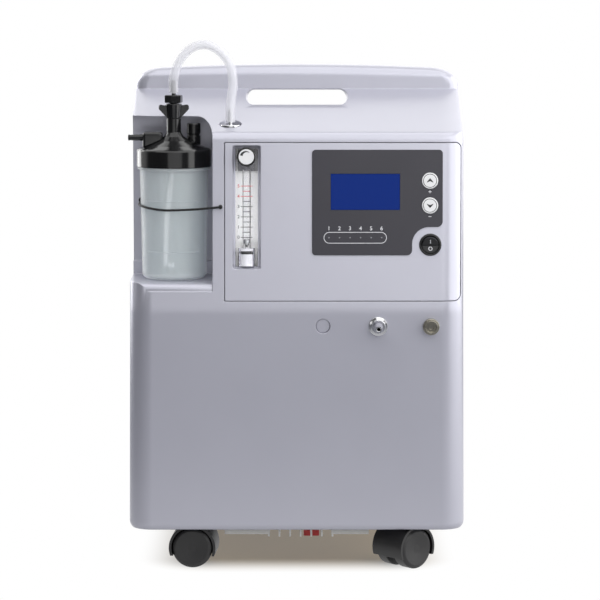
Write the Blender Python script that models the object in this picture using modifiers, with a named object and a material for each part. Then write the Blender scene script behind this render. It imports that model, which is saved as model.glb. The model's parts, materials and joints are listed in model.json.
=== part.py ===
"""Home oxygen concentrator on twin-wheel casters, with its humidifier in the front recess.

Metres, +Z up, front towards -Y. The origin is on the floor under the middle of the object.
A setback is a distance behind the crease of the front face. A rise is a height above what carries the piece.
"""
import math

import bmesh
import bpy
from mathutils import Matrix, Vector

# Clearances and edges
FIT = 0.0003
SWEEP = 0.0008
EDGE = 0.0010
OVERRUN = 0.030
MERGE = 0.000001
TURN_MERGE = 0.00001

# Housing
BASE_WIDTH = 0.356
WAIST_WIDTH = 0.351
HANDLE_WIDTH = 0.346
BODY_DEPTH = 0.330
GROUND_CLEARANCE = 0.046
LOWER_FACE_HEIGHT = 0.234
UPPER_FACE_HEIGHT = 0.184
ROOF_RISE = 0.040
BOTTOM_SETBACK = 0.008
SHOULDER_SETBACK = 0.016
BOTTOM_EDGE_R = 0.010
BOTTOM_EDGE_SWEEP = math.radians(45)
SHOULDER_R = 0.010
CORNER_R = 0.025
LEAST_CORNER_R = 0.0012
CORNER_SHARE = 0.42
WALL = 0.004
HANDLE_SETBACK = 0.150
HANDLE_THICKNESS = 0.034
HANDLE_SHANK = 0.004
HANDLE_EDGE_R = 0.011
HANDLE_CORNER_R = 0.022
HANDLE_CROWN = 0.005
SLOT_LENGTH = 0.110
SLOT_HEIGHT = 0.0155
SLOT_TILT = math.radians(4)

# Humidifier recess in the front left corner
RECESS_RIGHT_X = -0.088
RECESS_HEIGHT = 0.1705
SHELF_RISE = 0.0285
RECESS_DEPTH = 0.100
RECESS_TOP_R = 0.018
RECESS_FOOT_R = 0.004

# Control panel; V is measured up the leaning face from the crease
PANEL_LEFT_X = -0.0755
PANEL_RIGHT_X = 0.1722
PANEL_RISE = 0.0095
PANEL_HEIGHT = 0.167
PANEL_CORNER_R = 0.007
PANEL_THICKNESS = 0.0022
PANEL_REBATE = 0.004
OVERLAY_LEFT_X = 0.016
OVERLAY_RIGHT_X = 0.1525
OVERLAY_BOTTOM_V = 0.0576
OVERLAY_TOP_V = 0.1678
OVERLAY_NOTCH_V = 0.0872
OVERLAY_CORNER_R = 0.004
OVERLAY_THICKNESS = 0.0007
NOTCH_R = 0.019
LCD_WIDTH = 0.072
LCD_HEIGHT = 0.0375
LCD_X = 0.0717
LCD_V = 0.1239
LCD_DEPTH = 0.010
BUTTON_R = 0.0085
BUTTON_STEM_R = 0.0038
BUTTON_X = 0.1392
BUTTON_UP_V = 0.1355
BUTTON_DOWN_V = 0.1096
BUTTON_PROUD = 0.0012
BUTTON_TRAVEL = 0.0010
LED_X = 0.0612
LED_V = 0.0760
LED_PITCH = 0.0110
LED_COUNT = 6
LED_R = 0.0013
LED_STRIP_HEIGHT = 0.008
LED_STRIP_DEPTH = 0.003
SWITCH_X = 0.1396
SWITCH_V = 0.0687
BEZEL_R = 0.0117
BEZEL_PROUD = 0.0016
SWITCH_BARREL_R = 0.0104
SWITCH_LENGTH = 0.018
SWITCH_FLOOR = 0.002
ROCKER_R = 0.0090
ROCKER_CUT = 0.0040
ROCKER_PROUD = 0.0010
ROCKER_ANGLE = math.radians(11)
BOARD_THICKNESS = 0.0016
DISPLAY_BOARD_MARGIN = 0.004

# Flow meter in its drafted pocket
FLOW_X = -0.0523
FLOW_V = 0.1076
FLOW_WIDTH = 0.0232
FLOW_HEIGHT = 0.123
FLOW_DEPTH = 0.022
FLOW_PROUD = 0.002
FLOW_EDGE_R = 0.0015
FLOW_BORE_R = 0.0046
FLOW_PLUG_LENGTH = 0.020
POCKET_MARGIN = 0.0031
POCKET_DEPTH = 0.007
POCKET_DRAFT = 0.002
POCKET_WALL = 0.0012
FLOAT_R = 0.0040
FLOAT_TIP_R = 0.0016
FLOAT_LENGTH = 0.008
FLOAT_TRAVEL = 0.058
KNOB_R = 0.0089
KNOB_LENGTH = 0.009
KNOB_RIM = 0.0020
KNOB_DROP = 0.0088
KNOB_STEM_R = 0.0030
KNOB_STEM_LENGTH = 0.010
FLOAT_HEADROOM = 0.015
SCALE_WIDTH = 0.0200
SCALE_HEIGHT = 0.073
SCALE_THICKNESS = 0.0008

# Fittings on the lower front and the roof
PORT_ROW_DROP = 0.0167
PORT_SHANK_LENGTH = 0.014
PLUG_X = 0.0275
PLUG_R = 0.0073
PLUG_LIP = 0.0012
OUTLET_X = 0.0853
OUTLET_FLANGE_R = 0.0100
OUTLET_FLANGE_THICKNESS = 0.0024
OUTLET_COLLAR_R = 0.0075
OUTLET_COLLAR_REACH = 0.006
OUTLET_BARB_R = 0.0050
OUTLET_NECK_R = 0.0036
OUTLET_BORE_R = 0.0018
OUTLET_REACH = 0.022
NEBULIZER_X = 0.1406
NEBULIZER_R = 0.0087
NEBULIZER_FLANGE_REACH = 0.006
NEBULIZER_REACH = 0.009
NEBULIZER_BORE_R = 0.0055
NEBULIZER_VALVE_R = 0.0030
NEBULIZER_FLOOR = 0.004
NEBULIZER_WALL = 0.001
SUPPLY_X = -0.0697
SUPPLY_FLANGE_R = 0.0108
SUPPLY_FLANGE_THICKNESS = 0.0025
SUPPLY_SHANK_LENGTH = 0.012
SPOT_FACE_R = 0.0118
SPOT_FACE_RISE = 0.0048
TUBE_R = 0.0050
TUBE_BORE_R = 0.0033
TUBE_POINT_SPACING = 0.015
TUBE_END_GAP = 0.0026
TUBE_ARCH = ((0.008, 0.0034), (0.042, 0.0114), (0.113, 0.0209), (0.243, 0.0306), (0.405, 0.0365),
             (0.587, 0.0376),
             (0.749, 0.0338), (0.894, 0.0264), (0.993, 0.0168), (1.037, 0.0051), (1.045, -0.0066),
             (1.015, -0.0191))
BARB_R = 0.0030
BARB_NECK_R = 0.0024
BARB_BORE_R = 0.0013
BARB_LENGTH = 0.016
BARB_RINGS = 2
BARB_TAPER = 0.85
BARB_NECK_SHARE = 0.6

# Humidifier
BOTTLE_X = -0.1297
BOTTLE_SETBACK = 0.052
BOTTLE_TOP_R = 0.0364
BOTTLE_BOTTOM_R = 0.0340
BOTTLE_WALL = 0.002
BOTTLE_HEIGHT = 0.130
BOTTLE_EDGE_R = 0.006
LID_R = 0.0390
LID_BAND_HEIGHT = 0.0182
LID_DOME = ((0.26, 0.0135), (0.43, 0.0090), (0.72, 0.0040), (0.92, 0.0010))
LID_NECK_RISE = 0.0175
LID_OVERLAP = 0.0115
LID_SOCKET_R = 0.0070
LID_SOCKET_RISE = 0.004
STEM_R = 0.0076
STEM_RISE = 0.032
WING_NUT_HEIGHT = 0.0155
WING_NUT_HUB_R = 0.0086
WING_SPAN = 0.032
WING_THICKNESS = 0.005
WING_TIP_R = 0.003
WING_SHOULDER = 0.0085
WING_TURN = math.radians(9)
ADAPTER_COLLAR_R = 0.0058
ADAPTER_COLLAR_HEIGHT = 0.003
ADAPTER_HEX_R = 0.0096
ADAPTER_HEX_HEIGHT = 0.005
ADAPTER_TURN = math.radians(20)
SHANK_R = 0.0036
OUTLET_BLOCK_SIZE = (0.021, 0.015, 0.022)
OUTLET_BLOCK_OFFSET_X = -0.0222
OUTLET_BLOCK_RISE = 0.018
OUTLET_BLOCK_EDGE_R = 0.003
NOZZLE_RISE = 0.012
NOZZLE_LENGTH = 0.0155
NOZZLE_ROOT_R = 0.0036
NOZZLE_TIP_R = 0.0028
NOZZLE_BORE_R = 0.0017
RELIEF_R = 0.0072
RELIEF_RISE = 0.0265
RELIEF_GROOVE = 0.0007
RELIEF_GROOVE_DROP = 0.011
RELIEF_GROOVE_WIDTH = 0.003
RELIEF_OFFSET = (0.0205, 0.0130)
DIP_TUBE_R = 0.0030
DIP_LEAN = 0.0090
DIP_FOOT_LENGTH = 0.0090
DIP_CLEARANCE = 0.013
DIP_ROUTE = ((0.0, 0.0), (0.2, 0.2), (0.75, 0.55), (1.0, 0.95))
DIP_BEND = 0.002
DIP_POINT_SPACING = 0.008
STRAP_R = 0.0012
STRAP_RISE = 0.0746
STRAP_LIFT_LEFT = 0.0035
STRAP_LIFT_RIGHT = 0.0046
STRAP_BEAD_X = -0.0795
STRAP_BEAD_R = 0.0022
STRAP_STANDOFF = 0.0045
STRAP_ARC_STEPS = 12

# Base and casters
PAN_RISE = 0.006
PAN_THICKNESS = 0.004
SOCKET_WALL = 0.004
WHEEL_R = 0.0215
WHEEL_WIDTH = 0.0155
WHEEL_EDGE = 0.0035
WHEEL_CHAMFER = 0.0021
WHEEL_DISH = 0.0016
HOOD_R = 0.0250
WEB_THICKNESS = 0.011
WEB_REACH = 0.0188
HOOD_SKIRT_DROP = 0.0085
AXLE_R = 0.0028
CASTER_TRAIL = 0.016
CASTER_X = 0.126
CASTER_SETBACK = 0.050
CASTER_REAR_SETBACK = 0.282
CASTER_STEM_R = 0.0036
CASTER_STEM_LENGTH = 0.014
CASTER_BOSS_R = 0.0105
CASTER_TURN = {"front_left": -4, "front_right": 222, "rear_left": 58, "rear_right": 131}
GRILLE_WIDTH = 0.1535
GRILLE_DEPTH = 0.070
GRILLE_SETBACK = 0.030
GRILLE_HEIGHT = 0.0158
GRILLE_WALL = 0.0026
GRILLE_RIB_COUNT = 7
GRILLE_RIB_PITCH = 0.0113
GRILLE_RIB_WIDTH = 0.0030
GRILLE_RIB_DROP = 0.0024
GRILLE_RIB_DEPTH = 0.0315
GRILLE_RIB_X = 0.0042
GRILLE_SLOT_START = 0.042
LOCK_KNOB_R = 0.0092
LOCK_KNOB_HEIGHT = 0.0032
LOCK_KNOB_X = 0.0158
LOCK_STEM_R = 0.003
LOCK_STEM_LENGTH = 0.009

# Back
FILTER_WIDTH = 0.104
FILTER_HEIGHT = 0.078
FILTER_DEPTH = 0.012
FILTER_RISE = 0.065
FILTER_LEDGE = 0.012
COVER_MARGIN = 0.010
COVER_THICKNESS = 0.005
COVER_PROUD = 0.003
LOUVRE_COUNT = 7
LOUVRE_MARGIN = 0.0083
LOUVRE_HEIGHT = 0.004
INLET_X = 0.105
INLET_RISE = 0.066
INLET_FLANGE = (0.050, 0.0235)
INLET_FLANGE_SHOULDER = 0.0310
INLET_FLANGE_EAR = 0.0106
INLET_FLANGE_EDGE_R = 0.002
INLET_FLANGE_THICKNESS = 0.003
INLET_BODY = (0.0280, 0.0205)
INLET_SOCKET = (0.0245, 0.0165)
INLET_SOCKET_BEVEL = 0.005
INLET_DEPTH = 0.024
INLET_SOCKET_DEPTH = 0.0165
INLET_PIN = (0.0020, 0.0040, 0.0130)
INLET_PIN_SPREAD = 0.0070
INLET_PIN_LIFT = 0.0020

# Inside
MOUNT_R = 0.011
MOUNT_WAIST_R = 0.0083
MOUNT_HEIGHT = 0.016
MOUNT_FLANGE = 0.0032
COMPRESSOR_SETBACK = 0.205
COMPRESSOR_FOOT = (0.150, 0.090, 0.005)
MOTOR_R = 0.044
MOTOR_LENGTH = 0.092
PUMP_SIZE = (0.046, 0.074, 0.092)
PUMP_HEAD_R = 0.0266
PUMP_HEAD_HEIGHT = 0.012
WELD = 0.003
DECK_HEIGHT = 0.149
DECK_SIZE = (0.312, 0.180)
DECK_SETBACK = 0.120
DECK_THICKNESS = 0.002
DECK_LEG_DEPTH = 0.144
FAN_SIZE = 0.120
FAN_DEPTH = 0.025
FAN_X = -0.090
FAN_FROM_DECK_FRONT = 0.070
FAN_ROTOR_R = 0.056
FAN_HUB_R = 0.020
FAN_BLADES = 7
FAN_BLADE_THICKNESS = 0.0024
FAN_BLADE_PITCH = math.radians(38)
FAN_STRUTS = 3
FAN_STRUT = (0.006, 0.004)
FAN_TOP_GAP = 0.002
COIL_TUBE_R = 0.0035
COIL_TURNS = 3
COIL_INNER_R = 0.024
COIL_PITCH = 0.0105
BED_R = 0.034
BED_CAP = 0.012
BED_CAP_LIP = 0.002
BED_HEIGHT = 0.205
BED_FROM_DECK_BACK = 0.038
BED_X = (0.012, 0.090)
TANK_R = 0.033
TANK_HEIGHT = 0.160
TANK_EDGE_R = 0.012
TANK_X = 0.118
TANK_FROM_DECK_FRONT = 0.066
VALVE_SIZE = (0.110, 0.044, 0.028)
SOLENOID_R = 0.011
SOLENOID_LENGTH = 0.030
SOLENOID_SPACING = 0.034
BOARD_SIZE = (0.150, 0.088)
BOARD_X = 0.060
BOARD_RISE = 0.057
RELAY = ((-0.050, 0.020), (0.030, 0.024, 0.022))
FILTER_CAN = ((-0.010, 0.024), (0.022, 0.018, 0.012))
HEAT_SINK = ((0.036, 0.012), (0.046, 0.030, 0.009))
TERMINAL_ROW = ((0.020, -0.026), (0.060, 0.014, 0.014))
FRONT_ROW_SETBACK = 0.072
TRANSFORMER_SIZE = (0.066, 0.052, 0.056)
WINDING_SIZE = (0.041, 0.072, 0.035)
TRANSFORMER_X = 0.110
CAPACITOR_R = 0.018
CAPACITOR_HEIGHT = 0.062
CAPACITOR_X = 0.040
SILENCER_R = 0.023
SILENCER_HEIGHT = 0.085
SILENCER_EDGE_R = 0.005
SILENCER_X = -0.122
SILENCER_FROM_DECK_BACK = 0.026

# Facet counts
ROUND = 18
MEDIUM_ROUND = 16
SMALL_ROUND = 12
BARB_ROUND = 10
PIN_ROUND = 8
BOTTLE_ROUND = 24
CORNER_STEPS = 4
EDGE_STEPS = 3
INNER_STEPS = 2
COIL_POINTS = 10
ROUTE_STEPS = 24
SMOOTH_ANGLE = math.radians(35)

# Heights and places that follow from the sizes
BODY_BOTTOM_Z = GROUND_CLEARANCE
CREASE_Z = BODY_BOTTOM_Z + LOWER_FACE_HEIGHT
SHOULDER_Z = CREASE_Z + UPPER_FACE_HEIGHT
HANDLE_FOOT_Z = SHOULDER_Z + ROOF_RISE
HANDLE_ROUND_Z = HANDLE_FOOT_Z + HANDLE_SHANK
HANDLE_TOP_Z = HANDLE_ROUND_Z + HANDLE_CORNER_R
FRONT_Y = -(BODY_DEPTH + COVER_PROUD - OUTLET_REACH) / 2
BACK_Y = FRONT_Y + BODY_DEPTH
SPLIT_Y = FRONT_Y + HANDLE_SETBACK + HANDLE_THICKNESS / 2
UPPER_LEAN = math.atan2(SHOULDER_SETBACK, UPPER_FACE_HEIGHT)
LOWER_LEAN = math.atan2(BOTTOM_SETBACK, LOWER_FACE_HEIGHT)
REACH = BASE_WIDTH + BODY_DEPTH + HANDLE_TOP_Z

SHELF_Z = CREASE_Z + SHELF_RISE
RECESS_TOP_Z = SHELF_Z + RECESS_HEIGHT
PANEL_BOTTOM_Z = CREASE_Z + PANEL_RISE
PANEL_TOP_Z = PANEL_BOTTOM_Z + PANEL_HEIGHT
PAN_Z = BODY_BOTTOM_Z + PAN_RISE
FLOOR_Z = PAN_Z + PAN_THICKNESS
FILTER_Z = CREASE_Z + FILTER_RISE
INLET_Z = BODY_BOTTOM_Z + INLET_RISE

BOTTLE_Y = FRONT_Y + BOTTLE_SETBACK
BOTTLE_BASE_Z = SHELF_Z + FIT
LID_BAND_Z = BOTTLE_BASE_Z + BOTTLE_HEIGHT - LID_OVERLAP
LID_TOP_Z = LID_BAND_Z + LID_BAND_HEIGHT
LID_SOCKET_Z = LID_BAND_Z + LID_OVERLAP + LID_SOCKET_RISE
STEM_TOP_Z = LID_TOP_Z + STEM_RISE
WING_NUT_Z = STEM_TOP_Z + FIT
ADAPTER_Z = WING_NUT_Z + WING_NUT_HEIGHT + FIT
ADAPTER_TOP_Z = ADAPTER_Z + ADAPTER_COLLAR_HEIGHT + ADAPTER_HEX_HEIGHT
STRAP_Z = BOTTLE_BASE_Z + STRAP_RISE

SPOT_FACE_Z = SHOULDER_Z + SPOT_FACE_RISE
ROOF_SLOPE = (HANDLE_SETBACK - SHOULDER_SETBACK) / ROOF_RISE
SUPPLY_Y = FRONT_Y + SHOULDER_SETBACK + SPOT_FACE_RISE * ROOF_SLOPE + SPOT_FACE_R
SUPPLY_TOP_Z = SPOT_FACE_Z + FIT + SUPPLY_FLANGE_THICKNESS

DECK_Z = FLOOR_Z + DECK_HEIGHT
DECK_FRONT_Y = FRONT_Y + DECK_SETBACK
DECK_BACK_Y = DECK_FRONT_Y + DECK_SIZE[1]
ON_DECK_Z = DECK_Z + DECK_THICKNESS + FIT
FAN_Y = DECK_FRONT_Y + FAN_FROM_DECK_FRONT


def clear_scene():
    for obj in list(bpy.data.objects):
        bpy.data.objects.remove(obj, do_unlink=True)


def new_collection(name):
    collection = bpy.data.collections.new(name)
    bpy.context.scene.collection.children.link(collection)
    return collection


def material(name, colour, roughness, metallic=0.0, alpha=1.0):
    made = bpy.data.materials.new(name)
    made.use_nodes = True
    shader = made.node_tree.nodes["Principled BSDF"]
    shader.inputs["Base Color"].default_value = (*colour, 1.0)
    shader.inputs["Roughness"].default_value = roughness
    shader.inputs["Metallic"].default_value = metallic
    shader.inputs["Alpha"].default_value = alpha
    return made


def finish_mesh(obj):
    """Weld, face outwards and shade smooth with sharp edges kept."""
    bm = bmesh.new()
    bm.from_mesh(obj.data)
    bmesh.ops.remove_doubles(bm, verts=bm.verts, dist=MERGE)
    bmesh.ops.recalc_face_normals(bm, faces=bm.faces)
    bm.to_mesh(obj.data)
    bm.free()
    obj.data.shade_smooth()
    obj.data.set_sharp_from_angle(angle=SMOOTH_ANGLE)


def link(obj, parent=None):
    CUTTERS.objects.link(obj)
    obj.hide_render = True
    obj.display_type = 'WIRE'
    obj.parent = parent
    return obj


def part(obj, surface):
    """Turn a work object into a named part of the model."""
    CUTTERS.objects.unlink(obj)
    PARTS.objects.link(obj)
    obj.hide_render = False
    obj.display_type = 'TEXTURED'
    finish_mesh(obj)
    obj.data.materials.clear()
    obj.data.materials.append(surface)
    return obj


def from_bmesh(name, bm, parent=None):
    mesh = bpy.data.meshes.new(name)
    bm.to_mesh(mesh)
    bm.free()
    return link(bpy.data.objects.new(name, mesh), parent)


def bake(obj):
    """Replace an object's data by its evaluated mesh."""
    bpy.context.view_layer.update()
    graph = bpy.context.evaluated_depsgraph_get()
    mesh = bpy.data.meshes.new_from_object(obj.evaluated_get(graph))
    if obj.type == 'MESH':
        obj.modifiers.clear()
        obj.data = mesh
        return obj
    made = link(bpy.data.objects.new(obj.name, mesh), obj.parent)
    made.matrix_world = obj.matrix_world.copy()
    name = obj.name
    bpy.data.objects.remove(obj, do_unlink=True)
    made.name = name
    finish_mesh(made)
    return made


def combine(target, other, operation):
    modifier = target.modifiers.new(operation.title(), 'BOOLEAN')
    modifier.operation = operation
    modifier.object = other
    bake(target)
    bpy.data.objects.remove(other, do_unlink=True)
    return target


def cut(target, *cutters):
    for cutter in cutters:
        combine(target, cutter, 'DIFFERENCE')
    return target


def join(target, *others):
    for other in others:
        combine(target, other, 'UNION')
    return target


def keep(target, other):
    return combine(target, other, 'INTERSECT')


def duplicate(obj, name):
    return link(bpy.data.objects.new(name, obj.data.copy()), obj.parent)


def soften(obj, radius, segments):
    """Round all edges of a block."""
    bevel = obj.modifiers.new("Edges", 'BEVEL')
    bevel.width = radius
    bevel.segments = segments
    return bake(obj)


def box(name, size, centre, parent=None):
    bm = bmesh.new()
    bmesh.ops.create_cube(bm, size=1.0)
    bmesh.ops.scale(bm, vec=size, verts=bm.verts)
    bmesh.ops.translate(bm, vec=centre, verts=bm.verts)
    return from_bmesh(name, bm, parent)


def span_box(name, low, high, parent=None):
    low, high = Vector(low), Vector(high)
    return box(name, high - low, (low + high) / 2, parent)


def cylinder(name, radius, start, end, parent=None, segments=ROUND, end_radius=None):
    """A cylinder or cone between two points."""
    start, end = Vector(start), Vector(end)
    axis = end - start
    bm = bmesh.new()
    bmesh.ops.create_cone(bm, cap_ends=True, segments=segments, radius1=radius,
                          radius2=radius if end_radius is None else end_radius, depth=axis.length)
    turn = axis.to_track_quat('Z', 'Y').to_matrix().to_4x4()
    bmesh.ops.transform(bm, matrix=Matrix.Translation((start + end) / 2) @ turn, verts=bm.verts)
    return from_bmesh(name, bm, parent)


def fillet(corners, steps=CORNER_STEPS, closed=True):
    """Points of an outline given as (a, b, radius) corners, each rounded by an arc."""
    count = len(corners)
    points = []
    for i, (a, b, radius) in enumerate(corners):
        at_end = not closed and i in (0, count - 1)
        if radius <= 0 or at_end:
            points.append((a, b))
            continue
        corner = Vector((a, b))
        before = (Vector(corners[i - 1][:2]) - corner).normalized()
        after = (Vector(corners[(i + 1) % count][:2]) - corner).normalized()
        half = before.angle(after) / 2
        centre = corner + (before + after).normalized() * radius / math.sin(half)
        start = corner + before * radius / math.tan(half) - centre
        end = corner + after * radius / math.tan(half) - centre
        sweep = start.angle_signed(end)
        for k in range(steps + 1):
            arm = start.copy()
            arm.rotate(Matrix.Rotation(-sweep * k / steps, 2))
            points.append(tuple(centre + arm))
    return points


def prism(name, outline, front, back, parent=None):
    """A flat XZ outline extruded along Y from front to back."""
    curve = bpy.data.curves.new(name, 'CURVE')
    curve.dimensions = '2D'
    curve.fill_mode = 'BOTH'
    curve.extrude = abs(back - front) / 2
    spline = curve.splines.new('POLY')
    spline.points.add(len(outline) - 1)
    for point, (x, z) in zip(spline.points, outline):
        point.co = (x, z, 0.0, 1.0)
    spline.use_cyclic_u = True
    made = bake(link(bpy.data.objects.new(name, curve)))
    made.data.transform(Matrix.Translation((0, (front + back) / 2, 0)) @ Matrix.Rotation(math.pi / 2, 4,
                                                                                         'X'))
    made.parent = parent
    finish_mesh(made)
    return made


def turned(name, profile, segments=ROUND, parent=None, ring=False):
    """Revolve (radius, height) points about Z, given from the top down the outer side."""
    mesh = bpy.data.meshes.new(name)
    edges = [(i, i + 1) for i in range(len(profile) - 1) if profile[i][0] or profile[i + 1][0]]
    if ring:
        edges.append((len(profile) - 1, 0))
    mesh.from_pydata([(r, 0.0, z) for r, z in profile], edges, [])
    obj = link(bpy.data.objects.new(name, mesh), parent)
    screw = obj.modifiers.new("Turn", 'SCREW')
    screw.axis = 'Z'
    screw.angle = math.tau
    screw.steps = segments
    screw.render_steps = segments
    screw.use_merge_vertices = True
    screw.merge_threshold = TURN_MERGE
    bake(obj)
    finish_mesh(obj)
    return obj


def place(obj, location=(0, 0, 0), rotation=(0, 0, 0)):
    obj.location = location
    obj.rotation_euler = rotation
    return obj


def on_face(obj, x, v):
    """Stand a turned piece on a leaning face, its top pointing outwards."""
    return place(obj, (x, 0, v), (math.pi / 2, 0, 0))


def smooth_route(points, spacing):
    """Even points on a smooth curve through a few chosen ones."""
    anchors = [Vector(p) for p in points]
    anchors = [2 * anchors[0] - anchors[1]] + anchors + [2 * anchors[-1] - anchors[-2]]
    fine = []
    for p0, p1, p2, p3 in zip(anchors, anchors[1:], anchors[2:], anchors[3:]):
        for k in range(ROUTE_STEPS):
            t = k / ROUTE_STEPS
            fine.append(0.5 * (2 * p1 + (p2 - p0) * t + (2 * p0 - 5 * p1 + 4 * p2 - p3) * t * t
                               + (3 * p1 - p0 - 3 * p2 + p3) * t ** 3))
    fine.append(anchors[-2])
    travelled = [0.0]
    for a, b in zip(fine, fine[1:]):
        travelled.append(travelled[-1] + (b - a).length)
    count = max(2, round(travelled[-1] / spacing))
    even, j = [], 0
    for k in range(count + 1):
        target = travelled[-1] * k / count
        while j < len(fine) - 2 and travelled[j + 1] < target:
            j += 1
        share = (target - travelled[j]) / (travelled[j + 1] - travelled[j])
        even.append(fine[j].lerp(fine[j + 1], min(share, 1.0)))
    return even


def rod(name, points, radius, resolution=1):
    """A round wire or tube through points, with filled ends."""
    curve = bpy.data.curves.new(name, 'CURVE')
    curve.dimensions = '3D'
    curve.bevel_depth = radius
    curve.bevel_resolution = resolution
    curve.use_fill_caps = True
    spline = curve.splines.new('POLY')
    spline.points.add(len(points) - 1)
    for point, position in zip(spline.points, points):
        point.co = (*position, 1.0)
    return bake(link(bpy.data.objects.new(name, curve)))


def frame(name, location, rotation=(0, 0, 0)):
    empty = bpy.data.objects.new(name, None)
    PARTS.objects.link(empty)
    return place(empty, location, rotation)


def offset_line(line, inset, side):
    """Move an open (a, b, radius) line sideways by inset, keeping its corners."""
    moved = []
    for i, (a, b, radius) in enumerate(line):
        normals = []
        for j in (i - 1, i):
            if 0 <= j < len(line) - 1:
                step = (Vector(line[j + 1][:2]) - Vector(line[j][:2])).normalized()
                normals.append(Vector((step.y, -step.x)) * side)
        normal = sum(normals, Vector((0, 0))).normalized()
        stretch = inset / normal.dot(normals[0])
        moved.append((*(Vector((a, b)) + normal * stretch), radius))
    return moved


def housing_half_width(z, inset):
    """Half the housing's width at a height, with the rounded ends of the handle."""
    stations = ((BODY_BOTTOM_Z, BASE_WIDTH), (CREASE_Z, WAIST_WIDTH), (SHOULDER_Z, WAIST_WIDTH),
                (HANDLE_FOOT_Z, HANDLE_WIDTH))
    width = BASE_WIDTH if z <= BODY_BOTTOM_Z else HANDLE_WIDTH
    for (z0, w0), (z1, w1) in zip(stations, stations[1:]):
        if z0 <= z <= z1:
            width = w0 + (w1 - w0) * (z - z0) / (z1 - z0)
    rise = z - HANDLE_ROUND_Z
    radius = HANDLE_CORNER_R - inset
    half = width / 2 - inset
    if rise > 0:
        half -= radius - math.sqrt(max(radius * radius - rise * rise, 0.0))
    return half


def housing_lines(inset, steps):
    """Front and back edges of the side view as (setback, z) points, from the bottom up."""
    handle_back = HANDLE_SETBACK + HANDLE_THICKNESS
    middle = HANDLE_SETBACK + HANDLE_THICKNESS / 2
    shoulder_r = max(SHOULDER_R - inset, LEAST_CORNER_R)
    edge_r = HANDLE_EDGE_R - inset
    front = [(BOTTOM_SETBACK, BODY_BOTTOM_Z, 0), (0, CREASE_Z, 0),
             (SHOULDER_SETBACK, SHOULDER_Z, shoulder_r),
             (HANDLE_SETBACK, HANDLE_FOOT_Z, 0), (HANDLE_SETBACK, HANDLE_ROUND_Z, 0),
             (HANDLE_SETBACK, HANDLE_TOP_Z, edge_r), (middle, HANDLE_TOP_Z, 0)]
    back = [(BODY_DEPTH, BODY_BOTTOM_Z, 0), (BODY_DEPTH, CREASE_Z, 0), (BODY_DEPTH, SHOULDER_Z, shoulder_r),
            (handle_back, HANDLE_FOOT_Z, 0), (handle_back, HANDLE_ROUND_Z, 0),
            (handle_back, HANDLE_TOP_Z, edge_r), (middle, HANDLE_TOP_Z, 0)]
    return (fillet(offset_line(front, inset, 1), steps, closed=False)[:-1],
            fillet(offset_line(back, inset, -1), steps, closed=False)[:-1])


def ring_points(front, back, inset, steps, shrink=0.0):
    """One rounded section of the housing between a front and a back point of the side view."""
    (front_set, front_z), (back_set, back_z) = front, back
    front_set, back_set = front_set + shrink, back_set - shrink
    half = housing_half_width(min(front_z, HANDLE_TOP_Z - inset), inset) - shrink
    depth = back_set - front_set
    radius = max(min(CORNER_R - inset - shrink, depth * CORNER_SHARE), LEAST_CORNER_R)
    inner = (-half / 2, 0.0, half / 2)
    outline = fillet([(-half, front_set, radius)] + [(x, front_set, 0) for x in inner]
                     + [(half, front_set, radius), (half, back_set, radius)]
                     + [(-x, back_set, 0) for x in inner] + [(-half, back_set, radius)], steps)
    points = []
    for x, setback in outline:
        z = front_z + (back_z - front_z) * (setback - front_set) / depth
        lift = min(max((z - HANDLE_FOOT_Z) / (HANDLE_TOP_Z - HANDLE_FOOT_Z), 0.0), 1.0)
        z -= HANDLE_CROWN * lift * (2 * x / HANDLE_WIDTH) ** 2
        points.append((x, FRONT_Y + setback, z))
    return points


def loft(name, rings):
    """Bridge closed rings whose second half mirrors the first, and cap both ends with strips."""
    bm = bmesh.new()
    loops = [[bm.verts.new(point) for point in ring] for ring in rings]
    for lower, upper in zip(loops, loops[1:]):
        for i in range(len(lower)):
            j = (i + 1) % len(lower)
            bm.faces.new((lower[i], lower[j], upper[j], upper[i]))
    last = len(rings[0]) - 1
    for loop in (loops[0], loops[-1]):
        for i in range(last // 2):
            bm.faces.new((loop[i], loop[i + 1], loop[last - 1 - i], loop[last - i]))
    bmesh.ops.recalc_face_normals(bm, faces=bm.faces)
    return from_bmesh(name, bm)


def bottom_rings(steps):
    """Sections of the rounded lower edge of the housing."""
    rings = []
    for k in range(INNER_STEPS + 1):
        angle = BOTTOM_EDGE_SWEEP * (1 - k / INNER_STEPS)
        rise = BOTTOM_EDGE_R * (math.sin(BOTTOM_EDGE_SWEEP) - math.sin(angle))
        z = BODY_BOTTOM_Z + rise
        front_set = BOTTOM_SETBACK * (1 - rise / LOWER_FACE_HEIGHT)
        shrink = BOTTOM_EDGE_R * (1 - math.cos(angle))
        rings.append(ring_points((front_set, z), (BODY_DEPTH, z), 0.0, steps, shrink))
    return rings


def housing_block(name, inset, steps=CORNER_STEPS, skirt=0.0):
    """The housing's outer form, moved inwards by inset and lengthened below by skirt."""
    front, back = housing_lines(inset, min(steps, EDGE_STEPS))
    rings = [ring_points(f, b, inset, steps) for f, b in zip(front, back)]
    if skirt:
        rings[0] = [(x, y, z - skirt) for x, y, z in rings[0]]
    elif not inset:
        rings[:1] = bottom_rings(steps)
    return loft(name, rings)


def recess_outline(grow=0.0):
    left = -BASE_WIDTH
    return fillet([(left, SHELF_Z - grow, 0), (RECESS_RIGHT_X + grow, SHELF_Z - grow, RECESS_FOOT_R + grow),
                   (RECESS_RIGHT_X + grow, RECESS_TOP_Z + grow, RECESS_TOP_R + grow),
                   (left, RECESS_TOP_Z + grow, 0)])


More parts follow.
